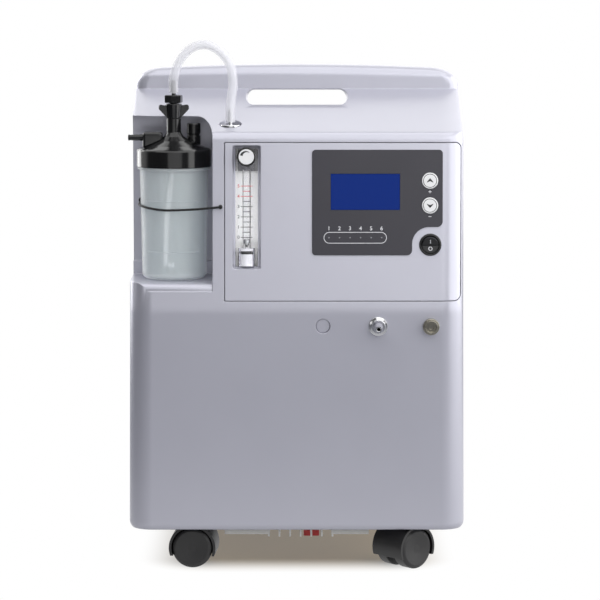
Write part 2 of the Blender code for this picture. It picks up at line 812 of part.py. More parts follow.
def panel_outline(grow=0.0):
    left, right = PANEL_LEFT_X - grow, PANEL_RIGHT_X + grow
    low, high = PANEL_BOTTOM_Z - grow, PANEL_TOP_Z + grow
    radius = max(PANEL_CORNER_R + grow, LEAST_CORNER_R)
    return fillet([(left, low, 0), (right, low, radius), (right, high, radius), (left, high, 0)])


def rectangle(width, height, radius, steps=CORNER_STEPS, centre=(0, 0)):
    """Outline of a rectangle with rounded corners."""
    return fillet([(centre[0] + x * width / 2, centre[1] + z * height / 2, radius)
                   for x, z in ((-1, -1), (1, -1), (1, 1), (-1, 1))], steps)


def slot_cutter(grow=0.0):
    """The carrying slot under the handle bar, falling slightly towards the back."""
    height = SLOT_HEIGHT + 2 * grow
    outline = rectangle(SLOT_LENGTH + 2 * grow, height, height / 2 - MERGE)
    centre = (0, FRONT_Y + HANDLE_SETBACK, HANDLE_FOOT_Z - SLOT_HEIGHT / 2)
    return place(prism("slot", outline, -BODY_DEPTH, BODY_DEPTH), centre, (-SLOT_TILT, 0, 0))


def filter_pocket(grow=0.0):
    half_width = FILTER_WIDTH / 2 + FIT + grow
    half_height = FILTER_HEIGHT / 2 + FIT + grow
    depth = COVER_THICKNESS + FILTER_DEPTH + 2 * FIT + grow
    return span_box("filter_pocket", (-half_width, BACK_Y - depth, FILTER_Z - half_height),
                    (half_width, BACK_Y + OVERRUN, FILTER_Z + half_height))


def cover_outline(grow=0.0):
    margin = 2 * (COVER_MARGIN + grow)
    return rectangle(FILTER_WIDTH + margin, FILTER_HEIGHT + margin, COVER_MARGIN, centre=(0, FILTER_Z))


def build_shells(finish):
    """Front and rear housing shells, split through the middle of the handle."""
    recess_back = FRONT_Y + RECESS_DEPTH
    cavity = housing_block("cavity", WALL, INNER_STEPS, OVERRUN)
    cut(cavity, prism("recess_walls", recess_outline(WALL), -REACH, recess_back + WALL),
        slot_cutter(WALL), filter_pocket(WALL))
    front = housing_block("front_shell", 0.0)
    cut(front, cavity, slot_cutter())
    rear = duplicate(front, "rear_shell")
    keep(front, span_box("front_half", (-REACH, -REACH, 0), (REACH, SPLIT_Y - FIT / 2, REACH)))
    keep(rear, span_box("rear_half", (-REACH, SPLIT_Y + FIT / 2, 0), (REACH, REACH, REACH)))
    cut(front, prism("recess", recess_outline(), -REACH, recess_back))

    behind_panel = FRONT_Y + 2 * CORNER_R
    rebate = housing_block("rebate", -WALL)
    cut(rebate, housing_block("rebate_core", PANEL_THICKNESS + FIT, skirt=OVERRUN))
    keep(rebate, prism("rebate_edge", panel_outline(FIT), -REACH, behind_panel))
    cut(front, rebate, prism("panel_opening", panel_outline(-PANEL_REBATE), -REACH, behind_panel))

    for x, radius in ((PLUG_X, PLUG_R), (OUTLET_X, OUTLET_BARB_R),
                      (NEBULIZER_X, NEBULIZER_BORE_R + NEBULIZER_WALL)):
        cut(front, cylinder("port_hole", radius + FIT, (x, -OVERRUN, -PORT_ROW_DROP),
                            (x, OVERRUN, -PORT_ROW_DROP),
                            LOWER_FACE))
    spot, under = (SUPPLY_X, SUPPLY_Y, SPOT_FACE_Z), (SUPPLY_X, SUPPLY_Y, SPOT_FACE_Z - OVERRUN)
    over = (SUPPLY_X, SUPPLY_Y, SPOT_FACE_Z + OVERRUN)
    cut(front, cylinder("spot_face", SPOT_FACE_R, spot, over),
        cylinder("supply_hole", BARB_R + FIT, under, over, segments=MEDIUM_ROUND))
    part(front, finish["pearl_grey_abs"])

    seat = BACK_Y - COVER_THICKNESS + COVER_PROUD - FIT
    cut(rear, filter_pocket(), prism("cover_seat", cover_outline(FIT), seat, BACK_Y + OVERRUN))
    half_width, half_height = FILTER_WIDTH / 2 - FILTER_LEDGE, FILTER_HEIGHT / 2 - FILTER_LEDGE
    cut(rear, span_box("airway", (-half_width, BACK_Y - 2 * OVERRUN, FILTER_Z - half_height),
                       (half_width, BACK_Y, FILTER_Z + half_height)),
        box("inlet_hole", (INLET_BODY[0] + 2 * FIT, OVERRUN, INLET_BODY[1] + 2 * FIT),
            (INLET_X, BACK_Y, INLET_Z)))
    part(rear, finish["pearl_grey_abs"])


def face_hole(x, v, radius, segments=ROUND):
    return cylinder("hole", radius, (x, -OVERRUN, v), (x, OVERRUN, v), UPPER_FACE, segments)


def face_window(width, height, x, v):
    return box("window", (width + 2 * FIT, 2 * OVERRUN, height + 2 * FIT), (x, 0, v), UPPER_FACE)


def pocket_block(name, front, back, grow):
    """A drafted block along the flow meter's pocket, between two depths behind the face."""
    bm = bmesh.new()
    bmesh.ops.create_cube(bm, size=1.0)
    for vert in bm.verts:
        depth = front if vert.co.y < 0 else back
        margin = POCKET_MARGIN + grow - POCKET_DRAFT * depth / POCKET_DEPTH
        vert.co = (FLOW_X + vert.co.x * (FLOW_WIDTH + 2 * margin), depth,
                   FLOW_V + vert.co.z * (FLOW_HEIGHT + 2 * margin))
    return from_bmesh(name, bm, UPPER_FACE)


def led_positions():
    first = LED_X - LED_PITCH * (LED_COUNT - 1) / 2
    return [first + LED_PITCH * i for i in range(LED_COUNT)]


def build_panel(finish):
    """The control panel plate and what is set in it, in the leaning frame of the upper face."""
    panel = housing_block("control_panel", 0.0)
    cut(panel, housing_block("panel_core", PANEL_THICKNESS, skirt=OVERRUN))
    keep(panel, prism("panel_edge", panel_outline(), -REACH, FRONT_Y + 2 * CORNER_R))
    join(panel, pocket_block("pocket_walls", PANEL_THICKNESS / 2, POCKET_DEPTH + POCKET_WALL, POCKET_WALL))
    cut(panel, pocket_block("pocket", -EDGE, POCKET_DEPTH, 0.0),
        face_window(FLOW_WIDTH, FLOW_HEIGHT, FLOW_X, FLOW_V),
        face_window(LCD_WIDTH, LCD_HEIGHT, LCD_X, LCD_V))
    for x, v, radius in ((BUTTON_X, BUTTON_UP_V, BUTTON_R), (BUTTON_X, BUTTON_DOWN_V, BUTTON_R),
                         (SWITCH_X, SWITCH_V, SWITCH_BARREL_R)):
        cut(panel, face_hole(x, v, radius + FIT))
    for x in led_positions():
        cut(panel, face_hole(x, LED_V, LED_R + FIT, PIN_ROUND))
    part(panel, finish["panel_abs"])

    width, height = OVERLAY_RIGHT_X - OVERLAY_LEFT_X, OVERLAY_TOP_V - OVERLAY_BOTTOM_V
    middle = ((OVERLAY_RIGHT_X + OVERLAY_LEFT_X) / 2, (OVERLAY_TOP_V + OVERLAY_BOTTOM_V) / 2)
    overlay = prism("panel_overlay", rectangle(width, height, OVERLAY_CORNER_R, centre=middle),
                    -FIT - OVERLAY_THICKNESS, -FIT, UPPER_FACE)
    cut(overlay, face_window(LCD_WIDTH, LCD_HEIGHT, LCD_X, LCD_V), face_hole(SWITCH_X, SWITCH_V, NOTCH_R),
        span_box("notch", (SWITCH_X, -OVERRUN, OVERLAY_BOTTOM_V - OVERRUN),
                 (OVERLAY_RIGHT_X + OVERRUN, OVERRUN, OVERLAY_NOTCH_V), UPPER_FACE))
    for v in (BUTTON_UP_V, BUTTON_DOWN_V):
        cut(overlay, face_hole(BUTTON_X, v, BUTTON_R + FIT))
    part(overlay, finish["printed_overlay"])

    lcd_front = -FIT - OVERLAY_THICKNESS / 2
    lcd = box("lcd_module", (LCD_WIDTH, LCD_DEPTH, LCD_HEIGHT), (LCD_X, lcd_front + LCD_DEPTH / 2, LCD_V),
              UPPER_FACE)
    part(lcd, finish["blue_lcd"])

    board_front = lcd_front + LCD_DEPTH + FIT
    board = span_box("display_board", (OVERLAY_LEFT_X - DISPLAY_BOARD_MARGIN, board_front,
                                       LED_V - LED_STRIP_HEIGHT),
                     (BUTTON_X + BUTTON_R, board_front + BOARD_THICKNESS, OVERLAY_TOP_V), UPPER_FACE)
    cut(board, face_hole(SWITCH_X, SWITCH_V, SWITCH_BARREL_R + DISPLAY_BOARD_MARGIN))
    part(board, finish["circuit_board"])

    key_top = FIT + OVERLAY_THICKNESS + BUTTON_PROUD
    stem_end = FIT + BUTTON_TRAVEL - board_front
    for name, v in (("button_up", BUTTON_UP_V), ("button_down", BUTTON_DOWN_V)):
        key = turned(name, [(0, key_top), (BUTTON_R - EDGE, key_top), (BUTTON_R, key_top - EDGE),
                            (BUTTON_R, -PANEL_THICKNESS), (BUTTON_STEM_R, -PANEL_THICKNESS),
                            (BUTTON_STEM_R, stem_end), (0, stem_end)], SMALL_ROUND, UPPER_FACE)
        part(on_face(key, BUTTON_X, v), finish["white_key"])

    strip_back = board_front - FIT
    half = LED_PITCH * LED_COUNT / 2
    strip = span_box("indicator_strip", (LED_X - half, strip_back - LED_STRIP_DEPTH,
                                         LED_V - LED_STRIP_HEIGHT / 2),
                     (LED_X + half, strip_back, LED_V + LED_STRIP_HEIGHT / 2), UPPER_FACE)
    for x in led_positions():
        join(strip, cylinder("led", LED_R, (x, 0, LED_V), (x, strip_back - LED_STRIP_DEPTH / 2, LED_V),
                             UPPER_FACE,
                             PIN_ROUND))
    part(strip, finish["led_light_guide"])
    build_switch(finish)


def build_switch(finish):
    """Round rocker switch: a barrel with its bezel, and the rocker that tilts in it."""
    socket_r = ROCKER_R + FIT
    socket_floor = -ROCKER_R - SWITCH_FLOOR
    housing = turned("switch_housing", [
        (0, socket_floor), (socket_r, socket_floor), (socket_r, BEZEL_PROUD), (BEZEL_R - EDGE, BEZEL_PROUD),
        (BEZEL_R, BEZEL_PROUD - EDGE), (BEZEL_R, FIT), (SWITCH_BARREL_R, FIT),
        (SWITCH_BARREL_R, -SWITCH_LENGTH),
        (0, -SWITCH_LENGTH)], MEDIUM_ROUND, UPPER_FACE)
    part(on_face(housing, SWITCH_X, SWITCH_V), finish["gloss_black_abs"])

    bm = bmesh.new()
    bmesh.ops.create_uvsphere(bm, u_segments=MEDIUM_ROUND, v_segments=SMALL_ROUND, radius=ROCKER_R)
    rocker = from_bmesh("power_rocker", bm, UPPER_FACE)
    valley = BEZEL_PROUD + ROCKER_PROUD
    reach = 2 * ROCKER_R
    crest = valley + reach * math.tan(ROCKER_ANGLE)
    dish = prism("dish", [(-reach, -ROCKER_CUT), (reach, -ROCKER_CUT), (reach, crest), (0, valley),
                          (-reach, crest)],
                 -reach, reach, UPPER_FACE)
    dish.data.transform(Matrix.Rotation(ROCKER_ANGLE, 4, 'X') @ Matrix.Rotation(math.pi / 2, 4, 'Z'))
    keep(rocker, dish)
    part(on_face(rocker, SWITCH_X, SWITCH_V), finish["gloss_black_abs"])


def build_flow_meter(finish):
    """The acrylic flow meter block with its bore, valve knob, float and scale card."""
    low, high = FLOW_V - FLOW_HEIGHT / 2, FLOW_V + FLOW_HEIGHT / 2
    back = FLOW_DEPTH - FLOW_PROUD
    axis_y = FLOW_DEPTH / 2 - FLOW_PROUD
    knob_v = high - KNOB_DROP
    bore_top = low + FLOW_PLUG_LENGTH + FLOAT_LENGTH + FLOAT_TRAVEL + FLOAT_HEADROOM
    block = box("flowmeter_body", (FLOW_WIDTH, FLOW_DEPTH, FLOW_HEIGHT), (FLOW_X, axis_y, FLOW_V),
                UPPER_FACE)
    soften(block, FLOW_EDGE_R, 2)
    cut(block, cylinder("bore", FLOW_BORE_R, (FLOW_X, axis_y, low - OVERRUN), (FLOW_X, axis_y, bore_top),
                        UPPER_FACE,
                        SMALL_ROUND),
        cylinder("valve_bore", KNOB_STEM_R + FIT, (FLOW_X, -OVERRUN, knob_v),
                 (FLOW_X, KNOB_STEM_LENGTH - FLOW_PROUD + FIT, knob_v), UPPER_FACE, SMALL_ROUND))
    part(block, finish["clear_acrylic"])

    scale = span_box("flowmeter_scale", (FLOW_X - SCALE_WIDTH / 2, back + FIT, FLOW_V - SCALE_HEIGHT / 2),
                     (FLOW_X + SCALE_WIDTH / 2, back + FIT + SCALE_THICKNESS, FLOW_V + SCALE_HEIGHT / 2),
                     UPPER_FACE)
    part(scale, finish["scale_card"])

    plug_r = FLOW_BORE_R - FIT
    plug = turned("flowmeter_inlet", [(0, FLOW_PLUG_LENGTH), (plug_r - 2 * EDGE, FLOW_PLUG_LENGTH),
                                      (plug_r, FLOW_PLUG_LENGTH - 2 * EDGE), (plug_r, FIT), (0, FIT)],
                  SMALL_ROUND, UPPER_FACE)
    part(place(plug, (FLOW_X, axis_y, low)), finish["chrome_plate"])

    bob = turned("flowmeter_float", [(0, FLOAT_LENGTH), (FLOAT_R - EDGE, FLOAT_LENGTH),
                                     (FLOAT_R, FLOAT_LENGTH - EDGE),
                                     (FLOAT_R, FLOAT_LENGTH / 2), (FLOAT_TIP_R, 0), (0, 0)], SMALL_ROUND,
                                     UPPER_FACE)
    part(place(bob, (FLOW_X, axis_y, low + FLOW_PLUG_LENGTH + FIT)), finish["zinc_steel"])

    face = KNOB_LENGTH - EDGE / 2
    knob = turned("flowmeter_knob", [
        (0, face), (KNOB_R - KNOB_RIM, face), (KNOB_R - KNOB_RIM, KNOB_LENGTH), (KNOB_R - EDGE, KNOB_LENGTH),
        (KNOB_R, KNOB_LENGTH - EDGE), (KNOB_R, FIT), (KNOB_STEM_R, FIT), (KNOB_STEM_R, -KNOB_STEM_LENGTH),
        (0, -KNOB_STEM_LENGTH)], MEDIUM_ROUND, UPPER_FACE)
    part(place(knob, (FLOW_X, -FLOW_PROUD, knob_v), (math.pi / 2, 0, 0)), finish["gloss_black_abs"])


def barb_profile(top, root, radius, neck):
    """Saw-tooth outline of a hose barb, from its tip down to its root."""
    points = []
    pitch = (top - root) / (BARB_RINGS + BARB_NECK_SHARE)
    for i in range(BARB_RINGS):
        z = top - pitch * i
        points += [(neck, z), (radius, z - pitch * BARB_TAPER)]
    return points + [(neck, top - pitch * BARB_RINGS), (neck, root)]


def build_ports(finish):
    """Fittings on the lower front face and the supply port on the roof."""
    outlet = turned("oxygen_outlet", [(OUTLET_BORE_R, OUTLET_REACH)]
                    + barb_profile(OUTLET_REACH, OUTLET_COLLAR_REACH, OUTLET_BARB_R, OUTLET_NECK_R)
                    + [(OUTLET_COLLAR_R, OUTLET_COLLAR_REACH),
                       (OUTLET_COLLAR_R, OUTLET_FLANGE_THICKNESS + EDGE / 2),
                       (OUTLET_FLANGE_R, OUTLET_FLANGE_THICKNESS), (OUTLET_FLANGE_R, FIT),
                       (OUTLET_BARB_R, FIT),
                       (OUTLET_BARB_R, -PORT_SHANK_LENGTH), (OUTLET_BORE_R, -PORT_SHANK_LENGTH)],
                    BARB_ROUND, LOWER_FACE, ring=True)
    part(on_face(outlet, OUTLET_X, -PORT_ROW_DROP), finish["chrome_plate"])

    shank_r = NEBULIZER_BORE_R + NEBULIZER_WALL
    lip_r = shank_r + EDGE / 2
    port = turned("nebulizer_port", [
        (0, NEBULIZER_FLOOR / 2), (NEBULIZER_VALVE_R, NEBULIZER_FLOOR / 2),
        (NEBULIZER_VALVE_R, NEBULIZER_FLOOR),
        (NEBULIZER_BORE_R, NEBULIZER_FLOOR), (NEBULIZER_BORE_R, NEBULIZER_REACH), (lip_r, NEBULIZER_REACH),
        (lip_r, NEBULIZER_FLANGE_REACH), (NEBULIZER_R - EDGE, NEBULIZER_FLANGE_REACH),
        (NEBULIZER_R, NEBULIZER_FLANGE_REACH - EDGE), (NEBULIZER_R, FIT), (shank_r, FIT),
        (shank_r, -PORT_SHANK_LENGTH), (0, -PORT_SHANK_LENGTH)], SMALL_ROUND, LOWER_FACE)
    part(on_face(port, NEBULIZER_X, -PORT_ROW_DROP), finish["nickel_plate"])

    plug = turned("port_plug", [
        (0, -EDGE / 2), (PLUG_R - EDGE / 2, -EDGE / 2), (PLUG_R, -EDGE), (PLUG_R, -WALL - FIT),
        (PLUG_R + PLUG_LIP, -WALL - FIT), (PLUG_R + PLUG_LIP, -WALL - PLUG_LIP), (0, -WALL - PLUG_LIP)],
        SMALL_ROUND, LOWER_FACE)
    part(on_face(plug, PLUG_X, -PORT_ROW_DROP), finish["pearl_grey_abs"])

    supply = turned("supply_port", [(BARB_BORE_R, SUPPLY_FLANGE_THICKNESS + BARB_LENGTH)]
                    + barb_profile(SUPPLY_FLANGE_THICKNESS + BARB_LENGTH, SUPPLY_FLANGE_THICKNESS, BARB_R,
                                   BARB_NECK_R)
                    + [(SUPPLY_FLANGE_R - EDGE, SUPPLY_FLANGE_THICKNESS),
                       (SUPPLY_FLANGE_R, SUPPLY_FLANGE_THICKNESS - EDGE), (SUPPLY_FLANGE_R, 0), (BARB_R, 0),
                       (BARB_R, -SUPPLY_SHANK_LENGTH), (BARB_BORE_R, -SUPPLY_SHANK_LENGTH)], BARB_ROUND,
                       ring=True)
    part(place(supply, (SUPPLY_X, SUPPLY_Y, SPOT_FACE_Z + FIT)), finish["chrome_plate"])


def lid_profile(grow=0.0):
    """Outer side of the humidifier lid above its band, relative to the band's lower edge."""
    stem_r = STEM_R + grow
    points = [(stem_r, STEM_TOP_Z - LID_BAND_Z + grow), (stem_r, LID_BAND_HEIGHT + LID_NECK_RISE + grow)]
    points += [(LID_R * share + grow, LID_BAND_HEIGHT + rise + grow) for share, rise in LID_DOME]
    return points + [(LID_R - EDGE + grow, LID_BAND_HEIGHT + grow), (LID_R + grow, LID_BAND_HEIGHT - EDGE)]


def lid_clearance():
    profile = [(0, STEM_TOP_Z - LID_BAND_Z + FIT)] + lid_profile(FIT) + [(LID_R + FIT, 0), (0, 0)]
    return place(turned("lid_clearance", profile, BOTTLE_ROUND), (BOTTLE_X, BOTTLE_Y, LID_BAND_Z))


def build_bottle(finish):
    """The humidifier's bottle, its screw lid and the dip tube that hangs in it."""
    outer = fillet([(BOTTLE_TOP_R, BOTTLE_HEIGHT, 0), (BOTTLE_BOTTOM_R, 0, BOTTLE_EDGE_R), (0, 0, 0)],
                   INNER_STEPS, closed=False)
    inner = fillet([(0, BOTTLE_WALL, 0), (BOTTLE_BOTTOM_R - BOTTLE_WALL, BOTTLE_WALL,
                                          BOTTLE_EDGE_R - BOTTLE_WALL),
                    (BOTTLE_TOP_R - BOTTLE_WALL, BOTTLE_HEIGHT, 0)], INNER_STEPS, closed=False)
    bottle = turned("humidifier_bottle", outer + inner, BOTTLE_ROUND, ring=True)
    part(place(bottle, (BOTTLE_X, BOTTLE_Y, BOTTLE_BASE_Z)), finish["frosted_polypropylene"])

    neck = BOTTLE_TOP_R + FIT
    bore = SHANK_R + FIT
    lid = turned("humidifier_lid", [(bore, STEM_TOP_Z - LID_BAND_Z)] + lid_profile()
                 + [(LID_R, 0), (neck, 0), (neck, LID_OVERLAP + FIT), (LID_SOCKET_R, LID_OVERLAP + FIT),
                    (bore, LID_SOCKET_Z - LID_BAND_Z)], BOTTLE_ROUND, ring=True)
    part(place(lid, (BOTTLE_X, BOTTLE_Y, LID_BAND_Z)), finish["gloss_black_abs"])

    low = BOTTLE_BASE_Z + DIP_CLEARANCE
    route = [(BOTTLE_X - DIP_LEAN * across, BOTTLE_Y, LID_SOCKET_Z + (low - LID_SOCKET_Z) * down)
             for across, down in DIP_ROUTE]
    foot_x = BOTTLE_X - DIP_LEAN
    route += [(foot_x + DIP_BEND, BOTTLE_Y, low + DIP_BEND / 2), (foot_x + DIP_FOOT_LENGTH, BOTTLE_Y, low)]
    part(rod("dip_tube", smooth_route(route, DIP_POINT_SPACING), DIP_TUBE_R), finish["white_plastic"])


def build_lid_fittings(finish):
    """Wing nut, inlet adapter, outlet nozzle and relief valve on the humidifier's lid."""
    bore = SHANK_R + FIT
    nut = turned("wing_nut", [(bore, WING_NUT_HEIGHT), (WING_NUT_HUB_R - EDGE / 2, WING_NUT_HEIGHT),
                              (WING_NUT_HUB_R, WING_NUT_HEIGHT - EDGE), (STEM_R, 0), (bore, 0)],
                              SMALL_ROUND, ring=True)
    half, foot = WING_SPAN / 2, STEM_R - EDGE / 2
    top = WING_NUT_HEIGHT - EDGE / 2
    wings = prism("wings", fillet([(-foot, EDGE, 0), (foot, EDGE, 0), (half, WING_SHOULDER, WING_TIP_R),
                                   (half - EDGE, top, WING_TIP_R), (EDGE - half, top, WING_TIP_R),
                                   (-half, WING_SHOULDER, WING_TIP_R)], INNER_STEPS), -WING_THICKNESS / 2,
                                   WING_THICKNESS / 2)
    cut(wings, cylinder("wing_bore", bore + EDGE, (0, 0, -OVERRUN), (0, 0, OVERRUN), segments=SMALL_ROUND))
    join(nut, wings)
    part(place(nut, (BOTTLE_X, BOTTLE_Y, WING_NUT_Z), (0, 0, WING_TURN)), finish["gloss_black_abs"])

    hex_low = ADAPTER_COLLAR_HEIGHT
    hex_top = hex_low + ADAPTER_HEX_HEIGHT
    collar_top = hex_top + EDGE / 2
    shank_low = LID_SOCKET_Z + FIT - ADAPTER_Z
    adapter = turned("inlet_adapter", [(BARB_BORE_R, hex_top + BARB_LENGTH)]
                     + barb_profile(hex_top + BARB_LENGTH, collar_top, BARB_R, BARB_NECK_R)
                     + [(ADAPTER_COLLAR_R, collar_top), (ADAPTER_COLLAR_R, 0), (SHANK_R, 0),
                        (SHANK_R, shank_low),
                        (BARB_BORE_R, shank_low)], BARB_ROUND, ring=True)
    hexagon = cylinder("hex", ADAPTER_HEX_R, (0, 0, hex_low), (0, 0, hex_top), segments=6)
    cut(hexagon, cylinder("hex_bore", ADAPTER_COLLAR_R - EDGE, (0, 0, -OVERRUN), (0, 0, OVERRUN),
                          segments=SMALL_ROUND))
    join(adapter, hexagon)
    part(place(adapter, (BOTTLE_X, BOTTLE_Y, ADAPTER_Z), (0, 0, ADAPTER_TURN)), finish["gloss_black_abs"])

    block_x = BOTTLE_X + OUTLET_BLOCK_OFFSET_X
    block_z = LID_TOP_Z + OUTLET_BLOCK_RISE - OUTLET_BLOCK_SIZE[2] / 2
    outlet = box("humidifier_outlet", OUTLET_BLOCK_SIZE, (block_x, BOTTLE_Y, block_z))
    soften(outlet, OUTLET_BLOCK_EDGE_R, 2)
    nozzle_x, nozzle_z = block_x - OUTLET_BLOCK_SIZE[0] / 2, LID_TOP_Z + NOZZLE_RISE
    tip = (nozzle_x - NOZZLE_LENGTH, BOTTLE_Y, nozzle_z)
    join(outlet, cylinder("nozzle", NOZZLE_ROOT_R, (nozzle_x + 2 * OUTLET_BLOCK_EDGE_R, BOTTLE_Y, nozzle_z),
                          tip,
                          segments=SMALL_ROUND, end_radius=NOZZLE_TIP_R))
    cut(outlet, cylinder("nozzle_bore", NOZZLE_BORE_R, (nozzle_x - OVERRUN, BOTTLE_Y, nozzle_z),
                         (nozzle_x + 2 * OUTLET_BLOCK_EDGE_R, BOTTLE_Y, nozzle_z), segments=PIN_ROUND),
                         lid_clearance())
    part(outlet, finish["gloss_black_abs"])

    sink = 2 * EDGE
    height = RELIEF_RISE + sink
    groove_top, groove_low = height - RELIEF_GROOVE_DROP, height - RELIEF_GROOVE_DROP - RELIEF_GROOVE_WIDTH
    relief = turned("relief_valve", [
        (0, height), (RELIEF_R - EDGE, height), (RELIEF_R, height - EDGE), (RELIEF_R, groove_top),
        (RELIEF_R - RELIEF_GROOVE, groove_top - RELIEF_GROOVE),
        (RELIEF_R - RELIEF_GROOVE, groove_low + RELIEF_GROOVE),
        (RELIEF_R, groove_low), (RELIEF_R, 0), (0, 0)], SMALL_ROUND)
    place(relief, (BOTTLE_X + RELIEF_OFFSET[0], BOTTLE_Y + RELIEF_OFFSET[1], LID_TOP_Z - sink))
    cut(relief, lid_clearance())
    part(relief, finish["gloss_black_abs"])


def strap_route():
    """Elastic cord from the recess wall, round the bottle, to its bead on the front face."""
    share = (STRAP_RISE + STRAP_LIFT_RIGHT) / BOTTLE_HEIGHT
    reach = BOTTLE_BOTTOM_R + (BOTTLE_TOP_R - BOTTLE_BOTTOM_R) * share + STRAP_R + FIT
    bead_z = STRAP_Z + STRAP_LIFT_RIGHT
    bead_y = FRONT_Y + (bead_z - CREASE_Z) * math.tan(UPPER_LEAN) - STRAP_STANDOFF
    to_bead = Vector((STRAP_BEAD_X - BOTTLE_X, bead_y - BOTTLE_Y))
    tangent = math.atan2(to_bead.y, to_bead.x) - math.acos(reach / to_bead.length)
    points = [(BOTTLE_X - reach, FRONT_Y + RECESS_DEPTH - FIT, STRAP_Z + STRAP_LIFT_LEFT)]
    for k in range(STRAP_ARC_STEPS + 1):
        angle = -math.pi + (tangent + math.pi) * k / STRAP_ARC_STEPS
        x, y = reach * math.cos(angle), reach * math.sin(angle)
        lift = STRAP_LIFT_LEFT * (x / reach) ** 2 if x < 0 else STRAP_LIFT_RIGHT * (x / to_bead.x) ** 2
        points.append((BOTTLE_X + x, BOTTLE_Y + y, STRAP_Z + lift))
    points.append((STRAP_BEAD_X, bead_y, bead_z))
    return points


def build_strap(finish):
    route = strap_route()
    x, y, z = route[-1]
    strap = rod("bottle_strap", route, STRAP_R)
    join(strap, cylinder("bead", STRAP_BEAD_R, (x, y - STRAP_R, z), (x, y + STRAP_STANDOFF - 2 * FIT, z),
                         segments=SMALL_ROUND))
    part(strap, finish["elastic_cord"])


def tube_route():
    """Humidifier supply tube from the inlet adapter, over an arch, down to the roof port."""
    span_x, span_y = SUPPLY_X - BOTTLE_X, SUPPLY_Y - BOTTLE_Y
    low, high = ADAPTER_TOP_Z + TUBE_END_GAP, ADAPTER_TOP_Z + BARB_LENGTH
    points = [(BOTTLE_X, BOTTLE_Y, z) for z in (low, (low + high) / 2, high)]
    for i, (share, rise) in enumerate(TUBE_ARCH):
        along = (i + 1) / (len(TUBE_ARCH) + 1)
        points.append((BOTTLE_X + span_x * share, BOTTLE_Y + span_y * along, high + rise))
    low, high = SUPPLY_TOP_Z + TUBE_END_GAP, SUPPLY_TOP_Z + BARB_LENGTH
    return points + [(SUPPLY_X, SUPPLY_Y, z) for z in (high, (low + high) / 2, low)]


def build_tube(finish):
    """The bored silicone tube that slides over the two barbs."""
    route = smooth_route(tube_route(), TUBE_POINT_SPACING)
    tube = rod("humidifier_tube", route, TUBE_R, 2)
    bore = [2 * route[0] - route[1]] + route + [2 * route[-1] - route[-2]]
    cut(tube, rod("tube_bore", bore, TUBE_BORE_R + FIT, 2))
    part(tube, finish["clear_silicone"])


def build_caster(name, x, setback, finish):
    """One twin-wheel caster: hood with its stem, and the wheel pair on its axle."""
    swivel = frame(f"{name}_swivel", (x, FRONT_Y + setback, 0), (0, 0, math.radians(CASTER_TURN[name])))
    half_web = WEB_THICKNESS / 2
    inner_face = half_web + SWEEP
    outer_face = inner_face + WHEEL_WIDTH
    axle_z = WHEEL_R * math.cos(math.pi / ROUND)

    def across(label, radius, low, high, segments=ROUND):
        return cylinder(label, radius, (CASTER_TRAIL, low, axle_z), (CASTER_TRAIL, high, axle_z), swivel,
                        segments)

    hood = across(f"caster_{name}", HOOD_R, -outer_face, outer_face)
    for side in (-1, 1):
        cut(hood, across("pocket", WHEEL_R + SWEEP, side * half_web, side * (outer_face + OVERRUN)))
    hood_top = PAN_Z - FIT
    skirt_z = axle_z - HOOD_SKIRT_DROP
    boss_low = axle_z + WHEEL_R + SWEEP
    join(hood, span_box("web", (CASTER_TRAIL - WEB_REACH, -half_web, skirt_z),
                        (CASTER_STEM_R + half_web, half_web, hood_top), swivel),
         cylinder("boss", CASTER_BOSS_R, (0, 0, boss_low), (0, 0, hood_top), swivel, SMALL_ROUND),
         cylinder("stem", CASTER_STEM_R, (0, 0, boss_low), (0, 0, PAN_Z + CASTER_STEM_LENGTH), swivel,
                  PIN_ROUND))
    cut(hood, span_box("below", (-REACH, -REACH, -REACH), (REACH, REACH, skirt_z), swivel),
        across("axle_bore", AXLE_R + FIT, -REACH, REACH, SMALL_ROUND))
    part(hood, finish["black_nylon"])

    profile = [(0, outer_face - WHEEL_DISH), (WHEEL_R - WHEEL_EDGE, outer_face),
               (WHEEL_R, outer_face - WHEEL_CHAMFER),
               (WHEEL_R, inner_face), (AXLE_R, inner_face)]
    wheels = turned(f"caster_wheels_{name}", profile + [(r, -z) for r, z in reversed(profile)], ROUND,
                    swivel)
    wheels.data.transform(Matrix.Rotation(math.pi / ROUND, 4, 'Z'))
    part(place(wheels, (CASTER_TRAIL, 0, axle_z), (math.pi / 2, 0, 0)), finish["black_tread"])


